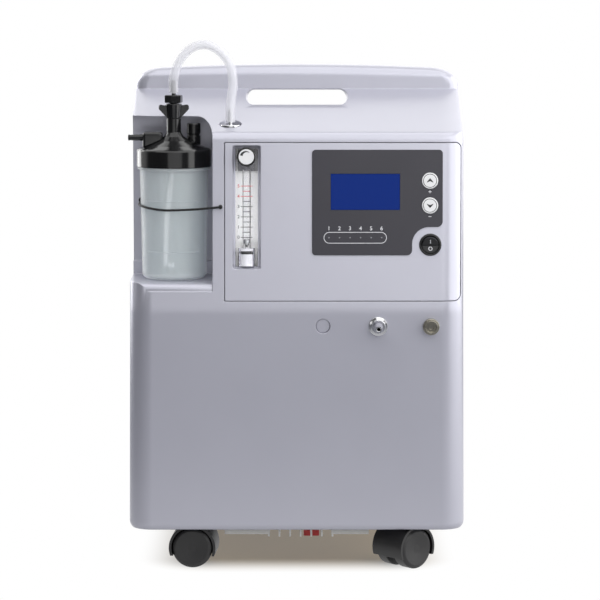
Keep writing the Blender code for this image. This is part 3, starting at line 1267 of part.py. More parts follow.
def build_base(finish):
    """Base pan with its four casters, and the exhaust grille with the transport knob under it."""
    inset = WALL + FIT
    front, back = housing_lines(inset, INNER_STEPS)
    rings = []
    for z in (PAN_Z, FLOOR_Z):
        share = (z - front[0][1]) / (front[1][1] - front[0][1])
        front_set = front[0][0] + (front[1][0] - front[0][0]) * share
        rings.append(ring_points((front_set, z), (back[0][0], z), inset, INNER_STEPS))
    pan = loft("base_pan", rings)
    casters = {"front_left": (-CASTER_X, CASTER_SETBACK), "front_right": (CASTER_X, CASTER_SETBACK),
               "rear_left": (-CASTER_X, CASTER_REAR_SETBACK), "rear_right": (CASTER_X, CASTER_REAR_SETBACK)}
    stem_top = PAN_Z + CASTER_STEM_LENGTH + FIT
    for x, setback in casters.values():
        y = FRONT_Y + setback
        join(pan, cylinder("socket", CASTER_STEM_R + SOCKET_WALL, (x, y, PAN_Z + EDGE),
                           (x, y, stem_top + 2 * EDGE),
                           segments=SMALL_ROUND))
        cut(pan, cylinder("socket_bore", CASTER_STEM_R + FIT, (x, y, 0), (x, y, stem_top),
                          segments=SMALL_ROUND))
    part(pan, finish["pearl_grey_abs"])
    for name, (x, setback) in casters.items():
        build_caster(name, x, setback, finish)

    front_y = FRONT_Y + GRILLE_SETBACK
    back_y = front_y + GRILLE_DEPTH
    top = PAN_Z - FIT
    low = top - GRILLE_HEIGHT
    half = GRILLE_WIDTH / 2
    grille = span_box("exhaust_grille", (-half, front_y, low), (half, back_y, top))
    cut(grille, span_box("duct", (-half + GRILLE_WALL, front_y + GRILLE_WALL, low + GRILLE_WALL),
                         (half - GRILLE_WALL, back_y - GRILLE_WALL, top + OVERRUN)))
    first = GRILLE_RIB_X - GRILLE_RIB_PITCH * (GRILLE_RIB_COUNT - 1) / 2
    rib_back = front_y + GRILLE_RIB_DEPTH
    half_slot = (GRILLE_RIB_PITCH - GRILLE_RIB_WIDTH - EDGE) / 2
    for i in range(GRILLE_RIB_COUNT):
        x = first + GRILLE_RIB_PITCH * i
        join(grille, span_box("rib", (x - GRILLE_RIB_WIDTH / 2, front_y, low - GRILLE_RIB_DROP),
                              (x + GRILLE_RIB_WIDTH / 2, rib_back, low + GRILLE_WALL / 2)))
        if i:
            slot_x = x - GRILLE_RIB_PITCH / 2
            cut(grille, span_box("air_slot", (slot_x - half_slot, front_y + GRILLE_SLOT_START,
                                              low - OVERRUN),
                                 (slot_x + half_slot, back_y - 2 * GRILLE_WALL, low + 2 * GRILLE_WALL)))
    knob_y = rib_back + LOCK_KNOB_R + SWEEP
    cut(grille, cylinder("lock_hole", LOCK_STEM_R + FIT, (LOCK_KNOB_X, knob_y, low - OVERRUN),
                         (LOCK_KNOB_X, knob_y, low + OVERRUN), segments=MEDIUM_ROUND))
    part(grille, finish["pearl_grey_abs"])

    knob = turned("transport_knob", [
        (0, LOCK_STEM_LENGTH), (LOCK_STEM_R, LOCK_STEM_LENGTH), (LOCK_STEM_R, -FIT), (LOCK_KNOB_R, -FIT),
        (LOCK_KNOB_R, EDGE - LOCK_KNOB_HEIGHT), (LOCK_KNOB_R - EDGE, -LOCK_KNOB_HEIGHT),
        (0, -LOCK_KNOB_HEIGHT)],
        SMALL_ROUND)
    part(place(knob, (LOCK_KNOB_X, knob_y, low)), finish["red_plastic"])


def build_back(finish):
    """Intake filter with its snap-in cover, and the mains inlet."""
    seat = BACK_Y - COVER_THICKNESS + COVER_PROUD
    cover = prism("filter_cover", cover_outline(), seat, seat + COVER_THICKNESS)
    pitch = FILTER_HEIGHT / (LOUVRE_COUNT + 1)
    half = FILTER_WIDTH / 2 - LOUVRE_MARGIN
    for i in range(LOUVRE_COUNT):
        z = FILTER_Z - FILTER_HEIGHT / 2 + pitch * (i + 1)
        cut(cover, span_box("louvre", (-half, seat - OVERRUN, z - LOUVRE_HEIGHT / 2),
                            (half, seat + OVERRUN, z + LOUVRE_HEIGHT / 2)))
    part(cover, finish["panel_abs"])

    pad = span_box("intake_filter", (-FILTER_WIDTH / 2, seat - FIT - FILTER_DEPTH,
                                     FILTER_Z - FILTER_HEIGHT / 2),
                   (FILTER_WIDTH / 2, seat - FIT, FILTER_Z + FILTER_HEIGHT / 2))
    part(pad, finish["filter_foam"])

    flange_y = BACK_Y + FIT
    mouth = flange_y + INLET_FLANGE_THICKNESS
    inlet = box("mains_inlet", (INLET_BODY[0], INLET_DEPTH, INLET_BODY[1]),
                (INLET_X, flange_y + EDGE - INLET_DEPTH / 2, INLET_Z))
    half_w, half_h = INLET_FLANGE[0] / 2, INLET_FLANGE[1] / 2
    shoulder, ear = INLET_FLANGE_SHOULDER / 2, INLET_FLANGE_EAR / 2
    flange = fillet([(INLET_X + x, INLET_Z + z, INLET_FLANGE_EDGE_R) for x, z in (
        (-half_w, -ear), (-shoulder, -half_h), (shoulder, -half_h), (half_w, -ear),
        (half_w, ear), (shoulder, half_h), (-shoulder, half_h), (-half_w, ear))], 1)
    join(inlet, prism("flange", flange, flange_y, mouth))
    half_w, half_h, bevel = INLET_SOCKET[0] / 2, INLET_SOCKET[1] / 2, INLET_SOCKET_BEVEL
    socket = fillet([(INLET_X + x, INLET_Z + z, EDGE) for x, z in (
        (-half_w, -half_h), (half_w, -half_h), (half_w, half_h - bevel),
        (half_w - bevel, half_h), (bevel - half_w, half_h), (-half_w, half_h - bevel))], 1)
    socket_floor = mouth - INLET_SOCKET_DEPTH
    cut(inlet, prism("socket", socket, socket_floor, mouth + OVERRUN))
    for side in (-1, 0, 1):
        lift = INLET_PIN_LIFT / 2 if side else INLET_PIN_LIFT * 3 / 2
        join(inlet, box("pin", (INLET_PIN[0], INLET_PIN[2], INLET_PIN[1]),
                        (INLET_X + side * INLET_PIN_SPREAD, socket_floor - EDGE + INLET_PIN[2] / 2,
                         INLET_Z + lift)))
    part(inlet, finish["black_nylon"])


def build_compressor(finish):
    """Twin-head compressor on four rubber mounts, and the sheet-metal deck over it."""
    centre_y = FRONT_Y + COMPRESSOR_SETBACK
    half_x, half_y = COMPRESSOR_FOOT[0] / 2 - MOUNT_R, COMPRESSOR_FOOT[1] / 2 - MOUNT_R
    for name, x, y in (("front_left", -half_x, -half_y), ("front_right", half_x, -half_y),
                       ("rear_left", -half_x, half_y), ("rear_right", half_x, half_y)):
        mount = turned(f"rubber_mount_{name}", [
            (0, MOUNT_HEIGHT), (MOUNT_R, MOUNT_HEIGHT), (MOUNT_R, MOUNT_HEIGHT - MOUNT_FLANGE),
            (MOUNT_WAIST_R, MOUNT_HEIGHT / 2), (MOUNT_R, MOUNT_FLANGE), (MOUNT_R, 0), (0, 0)], PIN_ROUND)
        part(place(mount, (x, centre_y + y, FLOOR_Z + FIT)), finish["mount_rubber"])

    foot_low = FLOOR_Z + MOUNT_HEIGHT + 2 * FIT
    foot_top = foot_low + COMPRESSOR_FOOT[2]
    compressor = box("compressor", COMPRESSOR_FOOT, (0, centre_y, (foot_low + foot_top) / 2))
    motor_z = foot_top + MOTOR_R - WELD
    join(compressor, cylinder("motor", MOTOR_R, (-MOTOR_LENGTH / 2, centre_y, motor_z),
                              (MOTOR_LENGTH / 2, centre_y, motor_z), segments=MEDIUM_ROUND))
    pump_top = foot_top + PUMP_SIZE[2] - EDGE
    for side in (-1, 1):
        x = side * (MOTOR_LENGTH / 2 + PUMP_SIZE[0] / 2 - WELD)
        join(compressor, box("pump", PUMP_SIZE, (x, centre_y, pump_top - PUMP_SIZE[2] / 2)),
             cylinder("head", PUMP_HEAD_R, (x, centre_y, pump_top - WELD),
                      (x, centre_y, pump_top + PUMP_HEAD_HEIGHT),
                      segments=SMALL_ROUND))
    part(compressor, finish["cast_aluminium"])

    half = DECK_SIZE[0] / 2
    deck_top = DECK_Z + DECK_THICKNESS
    deck = span_box("fan_deck", (-half, DECK_FRONT_Y, DECK_Z), (half, DECK_BACK_Y, deck_top))
    for x in (-half, half - DECK_THICKNESS):
        join(deck, span_box("leg", (x, DECK_FRONT_Y, FLOOR_Z + FIT),
                            (x + DECK_THICKNESS, DECK_FRONT_Y + DECK_LEG_DEPTH,
                             deck_top - DECK_THICKNESS / 2)))
    board_z = DECK_Z + BOARD_RISE
    board_left, board_right = BOARD_X - BOARD_SIZE[0] / 2, BOARD_X + BOARD_SIZE[0] / 2
    join(deck, span_box("board_flange", (board_left, DECK_FRONT_Y, DECK_Z),
                        (board_right, DECK_FRONT_Y + DECK_THICKNESS, board_z + BOARD_SIZE[1] / 2)))
    cut(deck, cylinder("fan_hole", FAN_ROTOR_R, (FAN_X, FAN_Y, DECK_Z - OVERRUN),
                       (FAN_X, FAN_Y, DECK_Z + OVERRUN)))
    part(deck, finish["zinc_steel"])

    board_back = DECK_FRONT_Y - FIT
    board = span_box("control_board", (board_left, board_back - BOARD_THICKNESS,
                                       board_z - BOARD_SIZE[1] / 2),
                     (board_right, board_back, board_z + BOARD_SIZE[1] / 2))
    for (x, z), (width, height, depth) in (RELAY, FILTER_CAN, HEAT_SINK, TERMINAL_ROW):
        join(board, box("component", (width, depth, height),
                        (BOARD_X + x, board_back - BOARD_THICKNESS / 2 - depth / 2, board_z + z)))
    part(board, finish["circuit_board"])


def build_fan(finish):
    """Cooling fan on the deck, and the coiled copper tube that it cools."""
    strut_top = ON_DECK_Z + FAN_STRUT[1]
    housing = box("fan_frame", (FAN_SIZE, FAN_SIZE, FAN_DEPTH), (FAN_X, FAN_Y, ON_DECK_Z + FAN_DEPTH / 2))
    cut(housing, cylinder("fan_bore", FAN_ROTOR_R + 2 * SWEEP, (FAN_X, FAN_Y, ON_DECK_Z - OVERRUN),
                          (FAN_X, FAN_Y, ON_DECK_Z + 2 * OVERRUN)))
    for i in range(FAN_STRUTS):
        strut = span_box("strut", (0, -FAN_STRUT[0] / 2, 0), (FAN_ROTOR_R + WELD, FAN_STRUT[0] / 2,
                                                              FAN_STRUT[1]))
        strut.data.transform(Matrix.Rotation(math.tau * i / FAN_STRUTS, 4, 'Z'))
        join(housing, place(strut, (FAN_X, FAN_Y, ON_DECK_Z)))
    join(housing, cylinder("fan_base", FAN_HUB_R, (FAN_X, FAN_Y, ON_DECK_Z), (FAN_X, FAN_Y, strut_top),
                           segments=SMALL_ROUND))
    part(housing, finish["black_nylon"])

    rotor_z = strut_top + FIT
    height = FAN_DEPTH - FAN_STRUT[1] - FIT - FAN_TOP_GAP
    rotor = cylinder("fan_rotor", FAN_HUB_R, (0, 0, 0), (0, 0, height), segments=SMALL_ROUND)
    for i in range(FAN_BLADES):
        blade = span_box("blade", (FAN_HUB_R - WELD, -FAN_BLADE_THICKNESS / 2, FAN_TOP_GAP),
                         (FAN_ROTOR_R, FAN_BLADE_THICKNESS / 2, height - FAN_TOP_GAP))
        middle = Matrix.Translation((0, 0, height / 2))
        blade.data.transform(Matrix.Rotation(math.tau * i / FAN_BLADES, 4, 'Z') @ middle
                             @ Matrix.Rotation(FAN_BLADE_PITCH, 4, 'X') @ middle.inverted())
        join(rotor, blade)
    part(place(rotor, (FAN_X, FAN_Y, rotor_z)), finish["black_nylon"])

    coil_z = ON_DECK_Z + FAN_DEPTH + FIT + COIL_TUBE_R
    spiral = []
    for k in range(COIL_POINTS * COIL_TURNS + 1):
        angle = math.tau * k / COIL_POINTS
        radius = COIL_INNER_R + COIL_PITCH * k / COIL_POINTS
        spiral.append((FAN_X + radius * math.cos(angle), FAN_Y + radius * math.sin(angle), coil_z))
    part(rod("cooling_coil", spiral, COIL_TUBE_R), finish["copper_tube"])
    least = min(math.dist(a, b) for a, b in zip(spiral, spiral[COIL_POINTS:])) - 2 * COIL_TUBE_R
    print(f"cooling_coil least gap {least * 1000:.2f} mm")


def build_gas_parts(finish):
    """Sieve beds, product tank, valve block and intake silencer on the deck."""
    bed_y = DECK_BACK_Y - BED_FROM_DECK_BACK
    cap_low, body_r = BED_HEIGHT - BED_CAP, BED_R - BED_CAP_LIP
    for name, x in zip(("sieve_bed_left", "sieve_bed_right"), BED_X):
        bed = turned(name, [(0, BED_HEIGHT), (BED_R, BED_HEIGHT), (BED_R, cap_low), (body_r, cap_low),
                            (body_r, BED_CAP), (BED_R, BED_CAP), (BED_R, 0), (0, 0)], SMALL_ROUND)
        part(place(bed, (x, bed_y, ON_DECK_Z)), finish["cast_aluminium"])
    tank = turned("product_tank", fillet([(0, TANK_HEIGHT, 0), (TANK_R, TANK_HEIGHT, TANK_EDGE_R),
                                          (TANK_R, 0, TANK_EDGE_R), (0, 0, 0)], INNER_STEPS, closed=False),
                                          SMALL_ROUND)
    part(place(tank, (TANK_X, DECK_FRONT_Y + TANK_FROM_DECK_FRONT, ON_DECK_Z)), finish["white_plastic"])

    valve_x = sum(BED_X) / 2
    valve_z = ON_DECK_Z + BED_HEIGHT + FIT + VALVE_SIZE[2] / 2
    valve = box("valve_block", VALVE_SIZE, (valve_x, bed_y, valve_z))
    valve_front = bed_y - VALVE_SIZE[1] / 2
    for x in (valve_x - SOLENOID_SPACING, valve_x, valve_x + SOLENOID_SPACING):
        join(valve, cylinder("solenoid", SOLENOID_R, (x, valve_front + WELD, valve_z),
                             (x, valve_front - SOLENOID_LENGTH, valve_z), segments=SMALL_ROUND))
    part(valve, finish["cast_aluminium"])

    silencer = turned("intake_silencer", fillet([(0, SILENCER_HEIGHT, 0),
                                                 (SILENCER_R, SILENCER_HEIGHT, SILENCER_EDGE_R),
                                                 (SILENCER_R, 0, SILENCER_EDGE_R), (0, 0, 0)], INNER_STEPS,
                                                closed=False), SMALL_ROUND)
    part(place(silencer, (SILENCER_X, DECK_BACK_Y - SILENCER_FROM_DECK_BACK, ON_DECK_Z)),
         finish["black_nylon"])


def build_power_parts(finish):
    """Transformer and motor capacitor on the base pan."""
    row_y = FRONT_Y + FRONT_ROW_SETBACK
    low = FLOOR_Z + FIT
    middle = (TRANSFORMER_X, row_y + TRANSFORMER_SIZE[1] / 2, low + TRANSFORMER_SIZE[2] / 2)
    transformer = box("transformer", TRANSFORMER_SIZE, middle)
    join(transformer, box("winding", WINDING_SIZE, middle))
    part(transformer, finish["zinc_steel"])
    can = turned("capacitor", [(0, CAPACITOR_HEIGHT), (CAPACITOR_R - EDGE, CAPACITOR_HEIGHT),
                               (CAPACITOR_R, CAPACITOR_HEIGHT - EDGE), (CAPACITOR_R, 0), (0, 0)],
                               SMALL_ROUND)
    part(place(can, (CAPACITOR_X, row_y + CAPACITOR_R, low)), finish["white_plastic"])


def main():
    finish = {name: material(name, *look) for name, look in {
        "pearl_grey_abs": ((0.62, 0.62, 0.66), 0.42),
        "panel_abs": ((0.60, 0.60, 0.64), 0.40),
        "printed_overlay": ((0.10, 0.095, 0.13), 0.35),
        "blue_lcd": ((0.03, 0.09, 0.42), 0.15),
        "white_key": ((0.85, 0.85, 0.87), 0.35),
        "gloss_black_abs": ((0.015, 0.015, 0.017), 0.12),
        "led_light_guide": ((0.75, 0.75, 0.78), 0.20),
        "circuit_board": ((0.03, 0.16, 0.07), 0.55),
        "clear_acrylic": ((0.90, 0.92, 0.93), 0.05, 0.0, 0.25),
        "scale_card": ((0.90, 0.90, 0.90), 0.60),
        "chrome_plate": ((0.75, 0.75, 0.77), 0.10, 1.0),
        "nickel_plate": ((0.66, 0.60, 0.50), 0.22, 1.0),
        "zinc_steel": ((0.52, 0.53, 0.55), 0.35, 1.0),
        "frosted_polypropylene": ((0.80, 0.84, 0.87), 0.35, 0.0, 0.55),
        "white_plastic": ((0.86, 0.87, 0.88), 0.40),
        "clear_silicone": ((0.88, 0.89, 0.92), 0.20, 0.0, 0.45),
        "elastic_cord": ((0.02, 0.02, 0.022), 0.70),
        "black_nylon": ((0.02, 0.02, 0.021), 0.38),
        "black_tread": ((0.016, 0.016, 0.017), 0.45),
        "red_plastic": ((0.60, 0.04, 0.03), 0.35),
        "filter_foam": ((0.05, 0.05, 0.055), 0.95),
        "cast_aluminium": ((0.55, 0.56, 0.57), 0.40, 1.0),
        "mount_rubber": ((0.03, 0.03, 0.03), 0.80),
        "copper_tube": ((0.72, 0.36, 0.22), 0.25, 1.0),
    }.items()}
    for build in (build_shells, build_panel, build_flow_meter, build_ports, build_bottle, build_lid_fittings,
                  build_strap, build_tube, build_base, build_back, build_compressor, build_fan,
                  build_gas_parts,
                  build_power_parts):
        build(finish)


clear_scene()
PARTS = new_collection("Oxygen concentrator")
CUTTERS = new_collection("Cutters")
UPPER_FACE = frame("upper_face", (0, FRONT_Y, CREASE_Z), (-UPPER_LEAN, 0, 0))
LOWER_FACE = frame("lower_face", (0, FRONT_Y, CREASE_Z), (LOWER_LEAN, 0, 0))
main()
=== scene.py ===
import json
import math

import bmesh
import bpy
from mathutils import Matrix, Vector


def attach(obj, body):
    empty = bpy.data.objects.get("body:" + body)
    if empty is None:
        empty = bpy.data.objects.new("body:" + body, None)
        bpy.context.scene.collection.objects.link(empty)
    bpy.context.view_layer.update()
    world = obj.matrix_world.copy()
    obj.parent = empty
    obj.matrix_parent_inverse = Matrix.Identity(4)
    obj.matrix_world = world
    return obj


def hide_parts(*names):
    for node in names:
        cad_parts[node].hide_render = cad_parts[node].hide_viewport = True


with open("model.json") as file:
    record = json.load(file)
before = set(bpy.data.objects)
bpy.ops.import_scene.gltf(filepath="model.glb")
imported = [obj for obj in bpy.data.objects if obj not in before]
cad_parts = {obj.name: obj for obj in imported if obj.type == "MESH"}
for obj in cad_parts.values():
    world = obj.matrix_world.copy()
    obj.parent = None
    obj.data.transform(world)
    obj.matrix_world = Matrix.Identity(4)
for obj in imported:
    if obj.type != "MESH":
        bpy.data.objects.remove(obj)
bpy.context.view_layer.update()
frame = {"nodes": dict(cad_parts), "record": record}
nodes = frame["nodes"]
mm = 0.001

# the two planes of the front, shared with the solids
front = {"y": -0.1555, "creaseZ": 0.280,
         "upperLean": math.atan2(0.016, 0.184), "lowerLean": math.atan2(0.008, 0.234)}
outwards = Matrix.Rotation(math.pi / 2, 4, "X")  # local X right, Y up, Z towards the viewer


def onFace(lean, x, v, out):
    tilt = Matrix.Translation((0, front["y"], front["creaseZ"])) @ Matrix.Rotation(lean, 4, "X")
    return tilt @ Matrix.Translation((x, -out, v)) @ outwards


def onUpper(x, v, out=0.0):
    return onFace(-front["upperLean"], x, v, out)


def onLower(x, v):
    return onFace(front["lowerLean"], x, v, 0.0)


# node and material helpers

def linear(code):
    channels = [int(code[i:i + 2], 16) / 255 for i in (0, 2, 4)]
    return [c / 12.92 if c <= 0.04045 else ((c + 0.055) / 1.055) ** 2.4 for c in channels] + [1.0]


def addNode(tree, kind, settings=None, links=None):
    node = tree.nodes.new(kind)
    for key, value in (settings or {}).items():
        if isinstance(key, int) or key in node.inputs:
            node.inputs[key].default_value = value
        else:
            setattr(node, key, value)
    for key, source in (links or {}).items():
        tree.links.new(source, node.inputs[key])
    return node


def startMaterial(name, colour, roughness, settings=None):
    made = bpy.data.materials.new(name)
    made.use_nodes = True
    tree = made.node_tree
    tree.nodes.clear()
    shader = addNode(tree, "ShaderNodeBsdfPrincipled",
                     {"Base Color": linear(colour), "Roughness": roughness, **(settings or {})})
    addNode(tree, "ShaderNodeOutputMaterial", links={"Surface": shader.outputs[0]})
    return made, tree, shader


def mouldGrain(tree, shader, grainMm, strength, roughLow, roughHigh, edgeMm=0.0):
    # the texture of a mould, drawn coarser than the real one so that it shows, the patchy polish
    # that handling leaves, and softly rounded edges
    patchMm, grainDepth = 45, 0.1
    where = addNode(tree, "ShaderNodeTexCoord").outputs["Object"]
    grain = addNode(tree, "ShaderNodeTexNoise", {"Scale": 1 / (grainMm * mm), "Detail": 2.0},
                    {"Vector": where})
    bump = addNode(tree, "ShaderNodeBump", {"Strength": strength, "Distance": grainMm * mm * grainDepth},
                   {"Height": grain.outputs["Fac"]})
    if edgeMm:
        edge = addNode(tree, "ShaderNodeBevel", {"samples": 6, "Radius": edgeMm * mm})
        tree.links.new(edge.outputs["Normal"], bump.inputs["Normal"])
    tree.links.new(bump.outputs["Normal"], shader.inputs["Normal"])
    patch = addNode(tree, "ShaderNodeTexNoise", {"Scale": 1 / (patchMm * mm), "Detail": 3.0},
                    {"Vector": where})
    polish = addNode(tree, "ShaderNodeMapRange", {"To Min": roughLow, "To Max": roughHigh},
                     {"Value": patch.outputs["Fac"]})
    tree.links.new(polish.outputs["Result"], shader.inputs["Roughness"])


def tintDrift(tree, shader, colourA, colourB, sizeMm):
    # a slow drift between two close colours
    where = addNode(tree, "ShaderNodeTexCoord").outputs["Object"]
    drift = addNode(tree, "ShaderNodeTexNoise", {"Scale": 1 / (sizeMm * mm), "Detail": 3.0},
                    {"Vector": where})
    mix = addNode(tree, "ShaderNodeMix", {"data_type": "RGBA", 6: linear(colourA), 7: linear(colourB)},
                  {"Factor": drift.outputs["Fac"]})
    tree.links.new(mix.outputs[2], shader.inputs["Base Color"])


def letLightIn(tree, shader, colour):
    # lets light rays pass straight through a clear wall, so that what stands behind it isn't black
    out = next(n for n in tree.nodes if n.bl_idname == "ShaderNodeOutputMaterial")
    path = addNode(tree, "ShaderNodeLightPath")
    clear = addNode(tree, "ShaderNodeBsdfTransparent", {"Color": linear(colour)})
    mix = addNode(tree, "ShaderNodeMixShader",
                  links={0: path.outputs["Is Shadow Ray"], 1: shader.outputs[0], 2: clear.outputs[0]})
    tree.links.new(mix.outputs[0], out.inputs["Surface"])


def pearlAbs(name, colourA, colourB):
    # moulded ABS with a pearl pigment: satin, silver grey, faint cool drift, soft mirror of the light boxes
    made, tree, shader = startMaterial(name, colourA, 0.30, {"IOR": 1.53, "Metallic": 0.38})
    tintDrift(tree, shader, colourA, colourB, 60)
    mouldGrain(tree, shader, 0.9, 0.08, 0.27, 0.33, 1.2)
    return made


def glossAbs(name, colourA, colourB):
    # polished black ABS: sharp reflections, a trace of fine scratches
    made, tree, shader = startMaterial(name, colourA, 0.10, {"IOR": 1.53})
    tintDrift(tree, shader, colourA, colourB, 12)
    mouldGrain(tree, shader, 1.6, 0.03, 0.10, 0.20, 0.5)
    return made


def nylon(name, colourA, colourB):
    # glass-filled nylon: dull black with a dry, slightly grey bloom
    made, tree, shader = startMaterial(name, colourA, 0.5, {"IOR": 1.53})
    tintDrift(tree, shader, colourA, colourB, 9)
    mouldGrain(tree, shader, 0.7, 0.14, 0.40, 0.54, 0.7)
    return made


def whitePlastic(name, colourA, colourB, roughness):
    # moulded white polystyrene: soft light inside the wall, satin skin
    made, tree, shader = startMaterial(name, colourA, roughness, {
        "IOR": 1.55, "Subsurface Weight": 0.08, "Subsurface Radius": (0.002, 0.002, 0.002)})
    tintDrift(tree, shader, colourA, colourB, 8)
    mouldGrain(tree, shader, 0.6, 0.06, roughness - 0.05, roughness + 0.06, 0.4)
    return made


def filmPrint(name, colourA, colourB):
    # reverse-printed polycarbonate film: dark grey violet under a velvet surface
    made, tree, shader = startMaterial(name, colourA, 0.34, {"IOR": 1.58})
    tintDrift(tree, shader, colourA, colourB, 50)
    mouldGrain(tree, shader, 0.35, 0.10, 0.30, 0.38)
    return made


def paintedGlowDisplay(name, colour):
    # blue-mode liquid crystal behind glass: deep blue, made brighter by a painted glow that stands in for a
    # back light, and a faint dot grid
    dotMm = 0.52
    made, tree, shader = startMaterial(name, colour, 0.08, {
        "IOR": 1.52, "Specular IOR Level": 0.04, "Emission Strength": 0.40})
    where = addNode(tree, "ShaderNodeTexCoord").outputs["Object"]
    grid = addNode(tree, "ShaderNodeTexChecker", {"Scale": 1 / (dotMm * mm), "Color1": linear(colour),
                                                  "Color2": linear("0d286e")}, {"Vector": where})
    tree.links.new(grid.outputs["Color"], shader.inputs["Base Color"])
    # painted glow: the display's own colour is sent out as light
    tree.links.new(grid.outputs["Color"], shader.inputs["Emission Color"])
    return made


def clearAcrylic(name, colour):
    # cast acrylic, sawn and polished: water-clear, with a faint flow line
    made, tree, shader = startMaterial(name, colour, 0.02, {"IOR": 1.30, "Transmission Weight": 1.0})
    mouldGrain(tree, shader, 8.0, 0.02, 0.01, 0.05)
    letLightIn(tree, shader, colour)
    return made


def frostedBottle(name, colour):
    # blow-moulded polypropylene: milky and see-through, whiter at its rims where the wall is seen edge-on
    made, tree, shader = startMaterial(name, colour, 0.25, {
        "IOR": 1.49, "Subsurface Weight": 1.0, "Subsurface Scale": 0.004, "Subsurface Radius": (1, 1, 1),
        "Sheen Weight": 1.0, "Sheen Roughness": 0.4})
    mouldGrain(tree, shader, 3.0, 0.05, 0.18, 0.28)
    slant = addNode(tree, "ShaderNodeLayerWeight", {"Blend": 0.5})
    milk = addNode(tree, "ShaderNodeMapRange", {"From Min": 0.55, "To Min": 0.29, "To Max": 0.62},
                   {"Value": slant.outputs["Facing"]})
    tree.links.new(milk.outputs["Result"], shader.inputs["Alpha"])
    return made


def siliconeTube(name, colour):
    # extruded silicone rubber: cloudy clear, soft shine along the length
    made, tree, shader = startMaterial(name, colour, 0.22, {
        "IOR": 1.41, "Alpha": 0.32, "Sheen Weight": 0.6, "Sheen Roughness": 0.3})
    mouldGrain(tree, shader, 2.0, 0.04, 0.18, 0.28)
    return made


def plate(name, colourA, colourB, roughness, grainMm):
    # plated or bare metal: bright, with fine polishing marks
    made, tree, shader = startMaterial(name, colourA, roughness, {"Metallic": 1.0})
    tintDrift(tree, shader, colourA, colourB, 5)
    mouldGrain(tree, shader, grainMm, 0.05, max(roughness - 0.04, 0.03), roughness + 0.06, 0.3)
    return made


def rubber(name, colourA, colourB, grainMm):
    # cured rubber: deep matt with a powdery drift
    made, tree, shader = startMaterial(name, colourA, 0.75, {"IOR": 1.52})
    tintDrift(tree, shader, colourA, colourB, 6)
    mouldGrain(tree, shader, grainMm, 0.25, 0.66, 0.82)
    return made


def braidedElastic(name, colourA, colourB):
    # braided elastic cord: small crossed ridges along its length
    ridgeMm, ridgeDepthMm = 1.1, 0.2
    waveTurn = 6.28  # the wave texture counts its scale in radians
    made, tree, shader = startMaterial(name, colourA, 0.65, {"IOR": 1.5})
    where = addNode(tree, "ShaderNodeTexCoord").outputs["Object"]
    weave = addNode(tree, "ShaderNodeTexWave", {"Scale": 1 / (ridgeMm * mm) / waveTurn, "Distortion": 1.5,
                                                "bands_direction": "DIAGONAL"}, {"Vector": where})
    mix = addNode(tree, "ShaderNodeMix", {"data_type": "RGBA", 6: linear(colourA), 7: linear(colourB)},
                  {"Factor": weave.outputs["Fac"]})
    tree.links.new(mix.outputs[2], shader.inputs["Base Color"])
    bump = addNode(tree, "ShaderNodeBump", {"Strength": 0.4, "Distance": ridgeDepthMm * mm},
                   {"Height": weave.outputs["Fac"]})
    tree.links.new(bump.outputs["Normal"], shader.inputs["Normal"])
    return made


def openFoam(name, colourA, colourB):
    # reticulated foam: open black cells
    cellMm, cellDepthMm = 1.2, 0.6
    made, tree, shader = startMaterial(name, colourA, 0.95)
    where = addNode(tree, "ShaderNodeTexCoord").outputs["Object"]
    cells = addNode(tree, "ShaderNodeTexVoronoi", {"Scale": 1 / (cellMm * mm)}, {"Vector": where})
    mix = addNode(tree, "ShaderNodeMix", {"data_type": "RGBA", 6: linear(colourA), 7: linear(colourB)},
                  {"Factor": cells.outputs["Distance"]})
    tree.links.new(mix.outputs[2], shader.inputs["Base Color"])
    bump = addNode(tree, "ShaderNodeBump", {"Strength": 0.8, "Distance": cellDepthMm * mm},
                   {"Height": cells.outputs["Distance"]})
    tree.links.new(bump.outputs["Normal"], shader.inputs["Normal"])
    return made


def printInk(name, colourA, colourB):
    # screen-printed ink: flat, slightly uneven in cover
    made, tree, shader = startMaterial(name, colourA, 0.45)
    tintDrift(tree, shader, colourA, colourB, 1.5)
    return made


surfaces = {
    "housing_abs": pearlAbs("pearl grey ABS", "babac5", "bebec9"),
    "panel_abs": pearlAbs("pearl grey ABS panel", "bfbfca", "c3c3ce"),
    "overlay_print": filmPrint("printed polycarbonate film", "22202b", "282631"),
    "lcd": paintedGlowDisplay("blue display glass with painted glow", "0b2364"),
    "white_plastic": whitePlastic("white polystyrene", "e9e9ea", "f0f0f1", 0.38),
    "scale_card": whitePlastic("white scale card", "e6e6e6", "eeeeee", 0.55),
    "black_gloss": glossAbs("polished black ABS", "0c0c0d", "121214"),
    "black_nylon": nylon("black nylon", "141314", "1b1a1b"),
    "caster_tread": nylon("black caster tread", "131213", "191819"),
    "acrylic": clearAcrylic("clear cast acrylic", "fdfdfe"),
    "chrome_plate": plate("chrome plate", "c9c9cc", "d4d4d6", 0.10, 0.8),
    "nickel_plate": plate("nickel plate", "8d897d", "9a968b", 0.20, 0.8),
    "float_steel": plate("turned steel", "8e9092", "a0a2a4", 0.25, 0.6),
    "bottle_pp": frostedBottle("frosted polypropylene", "eaf5fe"),
    "silicone": siliconeTube("clear silicone rubber", "f6f6fb"),
    "elastic": braidedElastic("braided elastic", "0d0d0e", "1d1d1f"),
    "red_plastic": whitePlastic("red polypropylene", "d2231b", "dc2d25", 0.36),
    "foam": openFoam("black filter foam", "060606", "26262a"),
    "cast_aluminium": plate("cast aluminium", "9a9c9e", "adafb1", 0.42, 1.5),
    "mount_rubber": rubber("black mount rubber", "161616", "1f1f1f", 0.8),
    "copper": plate("drawn copper tube", "b87450", "c98a66", 0.24, 0.7),
    "circuit_board": filmPrint("green solder mask", "0f4a2a", "156036"),
}
greyNylon = nylon("grey nylon", "66666b", "727277")
pipeWhite = whitePlastic("white polyethylene", "fcfcfc", "ffffff", 0.30)
seatPlastic = whitePlastic("pale grey polystyrene", "b9b9be", "c3c3c8", 0.30)
